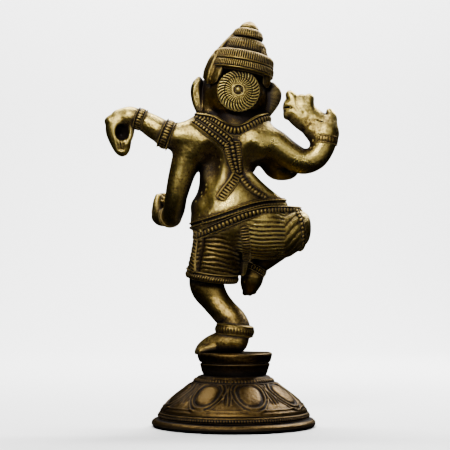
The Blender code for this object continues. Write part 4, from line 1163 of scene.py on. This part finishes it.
def steel_material(name):
    material, tree, shader = new_material(name)
    place = node(tree, "ShaderNodeTexCoord").outputs["Object"]
    cloud = noise(tree, place, 600, 5)
    colour = curve_ramp(tree, cloud, [(0.35, (0.16, 0.13, 0.10)), (0.6, (0.40, 0.39, 0.37))])
    rough = curve_ramp(tree, cloud, [(0.3, 0.6), (0.7, 0.38)])
    feed(tree, shader, Base_Color=colour, Roughness=rough, Metallic=1.0)
    return material


MATERIALS = {
    POLISHED: brass_material(POLISHED, (0.62, 0.49, 0.17), (0.135, 0.064, 0.016),
                             (0.010, 0.004, 0.0015), 0.0075, 0.25),
    PATINATED: brass_material(PATINATED, (0.36, 0.262, 0.090), (0.072, 0.032, 0.009),
                              (0.008, 0.0035, 0.0015), 0.0032, 0.32),
    AGED: brass_material(AGED, (0.15, 0.098, 0.036), (0.040, 0.019, 0.007),
                         (0.006, 0.0025, 0.001), 0.0030, 0.34),
    STEEL: steel_material(STEEL)}


# ---- stage -----------------------------------------------------------------------------------

FLOOR_REACH = 0.60
SWEEP = 0.25
SENSOR = 36.0
WIDTH_SEEN = 0.1661
CAMERA_PLACE = (AXIS[0] + 0.0032, 0.45, 0.046)
CAMERA_TARGET = (AXIS[0] + 0.0032, 0, 0.0737)


def build_stage():
    """A pale floor that sweeps up into a backdrop behind the figure."""
    profile = [(-0.14, 0.0), (FLOOR_REACH, 0.0)]
    profile += [(FLOOR_REACH + SWEEP * math.sin(a), SWEEP - SWEEP * math.cos(a))
                for a in np.linspace(0.1, math.pi / 2, 16)]
    profile += [(FLOOR_REACH + SWEEP, 1.3)]
    points = [(x, -y, z) for y, z in profile for x in (-1.3, 1.3)]
    faces = [(2 * i, 2 * i + 1, 2 * i + 3, 2 * i + 2) for i in range(len(profile) - 1)]
    mesh = bpy.data.meshes.new("floor")
    mesh.from_pydata(points, [], faces)
    mesh.shade_smooth()
    floor = bpy.data.objects.new("floor", mesh)
    bpy.context.scene.collection.objects.link(floor)
    material, tree, shader = new_material("pale_floor")
    feed(tree, shader, Base_Color=(0.90, 0.90, 0.90), Roughness=0.9, Specular_IOR_Level=0.1)
    mesh.materials.append(material)
    floor.visible_glossy = False


def aimed(data, place, target):
    """An object for a light or camera, looking from place at target."""
    obj = bpy.data.objects.new(data.name, data)
    obj.location = place
    obj.rotation_euler = (Vector(target) - Vector(place)).to_track_quat("-Z", "Y").to_euler()
    bpy.context.scene.collection.objects.link(obj)
    return obj


def area_light(name, place, target, size, power):
    data = bpy.data.lights.new(name, "AREA")
    data.shape = "RECTANGLE"
    data.size, data.size_y = size
    data.energy = power
    aimed(data, place, target)


def build_lights():
    world = bpy.data.worlds.new("studio")
    world.use_nodes = True
    feed(world.node_tree, world.node_tree.nodes["Background"], Color=(1, 1, 1), Strength=0.012)
    bpy.context.scene.world = world
    bpy.context.scene.view_settings.look = "AgX - Medium High Contrast"
    area_light("key", (0.14, 0.46, 0.40), (0, 0, 0.08), (0.16, 0.16), 3.0)
    area_light("fill", (-0.34, 0.46, 0.20), (0, 0, 0.07), (0.10, 0.30), 0.5)
    area_light("front_key", (-0.30, -0.36, 0.45), (0, 0, 0.08), (0.20, 0.20), 2.4)
    area_light("backdrop_wash", (0.0, -0.30, 0.85), (0, -0.80, 0.20), (0.9, 0.25), 22.0)


def build_camera():
    """Level with the knees, square on the figure's back."""
    data = bpy.data.cameras.new("camera")
    data.sensor_width = SENSOR
    data.lens = SENSOR * CAMERA_PLACE[1] / WIDTH_SEEN
    data.clip_start = 0.01
    bpy.context.scene.camera = aimed(data, CAMERA_PLACE, CAMERA_TARGET)


# ---- building --------------------------------------------------------------------------------

build_camera()
tree, parts = part_meshes(build_field())
for part_name, part_mesh in parts.items():
    # The listed parts take the darker brass; for front_right_arm and right_foot it is painted
    # shade.
    add_piece(part_name, part_mesh, PATINATED if part_name in DARK_AND_SHADED_PARTS else POLISHED)
build_base()
build_plinth()
build_crown()
build_rosette()
build_belts(tree)
build_cloth_edges(tree)
build_limb_rings(tree)
build_garlands(tree)
build_bowl()
for steel_node in ("fixing_stud", "fixing_washer", "fixing_nut"):
    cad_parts[steel_node].material_slots[0].material = MATERIALS[STEEL]
build_stage()
build_lights()
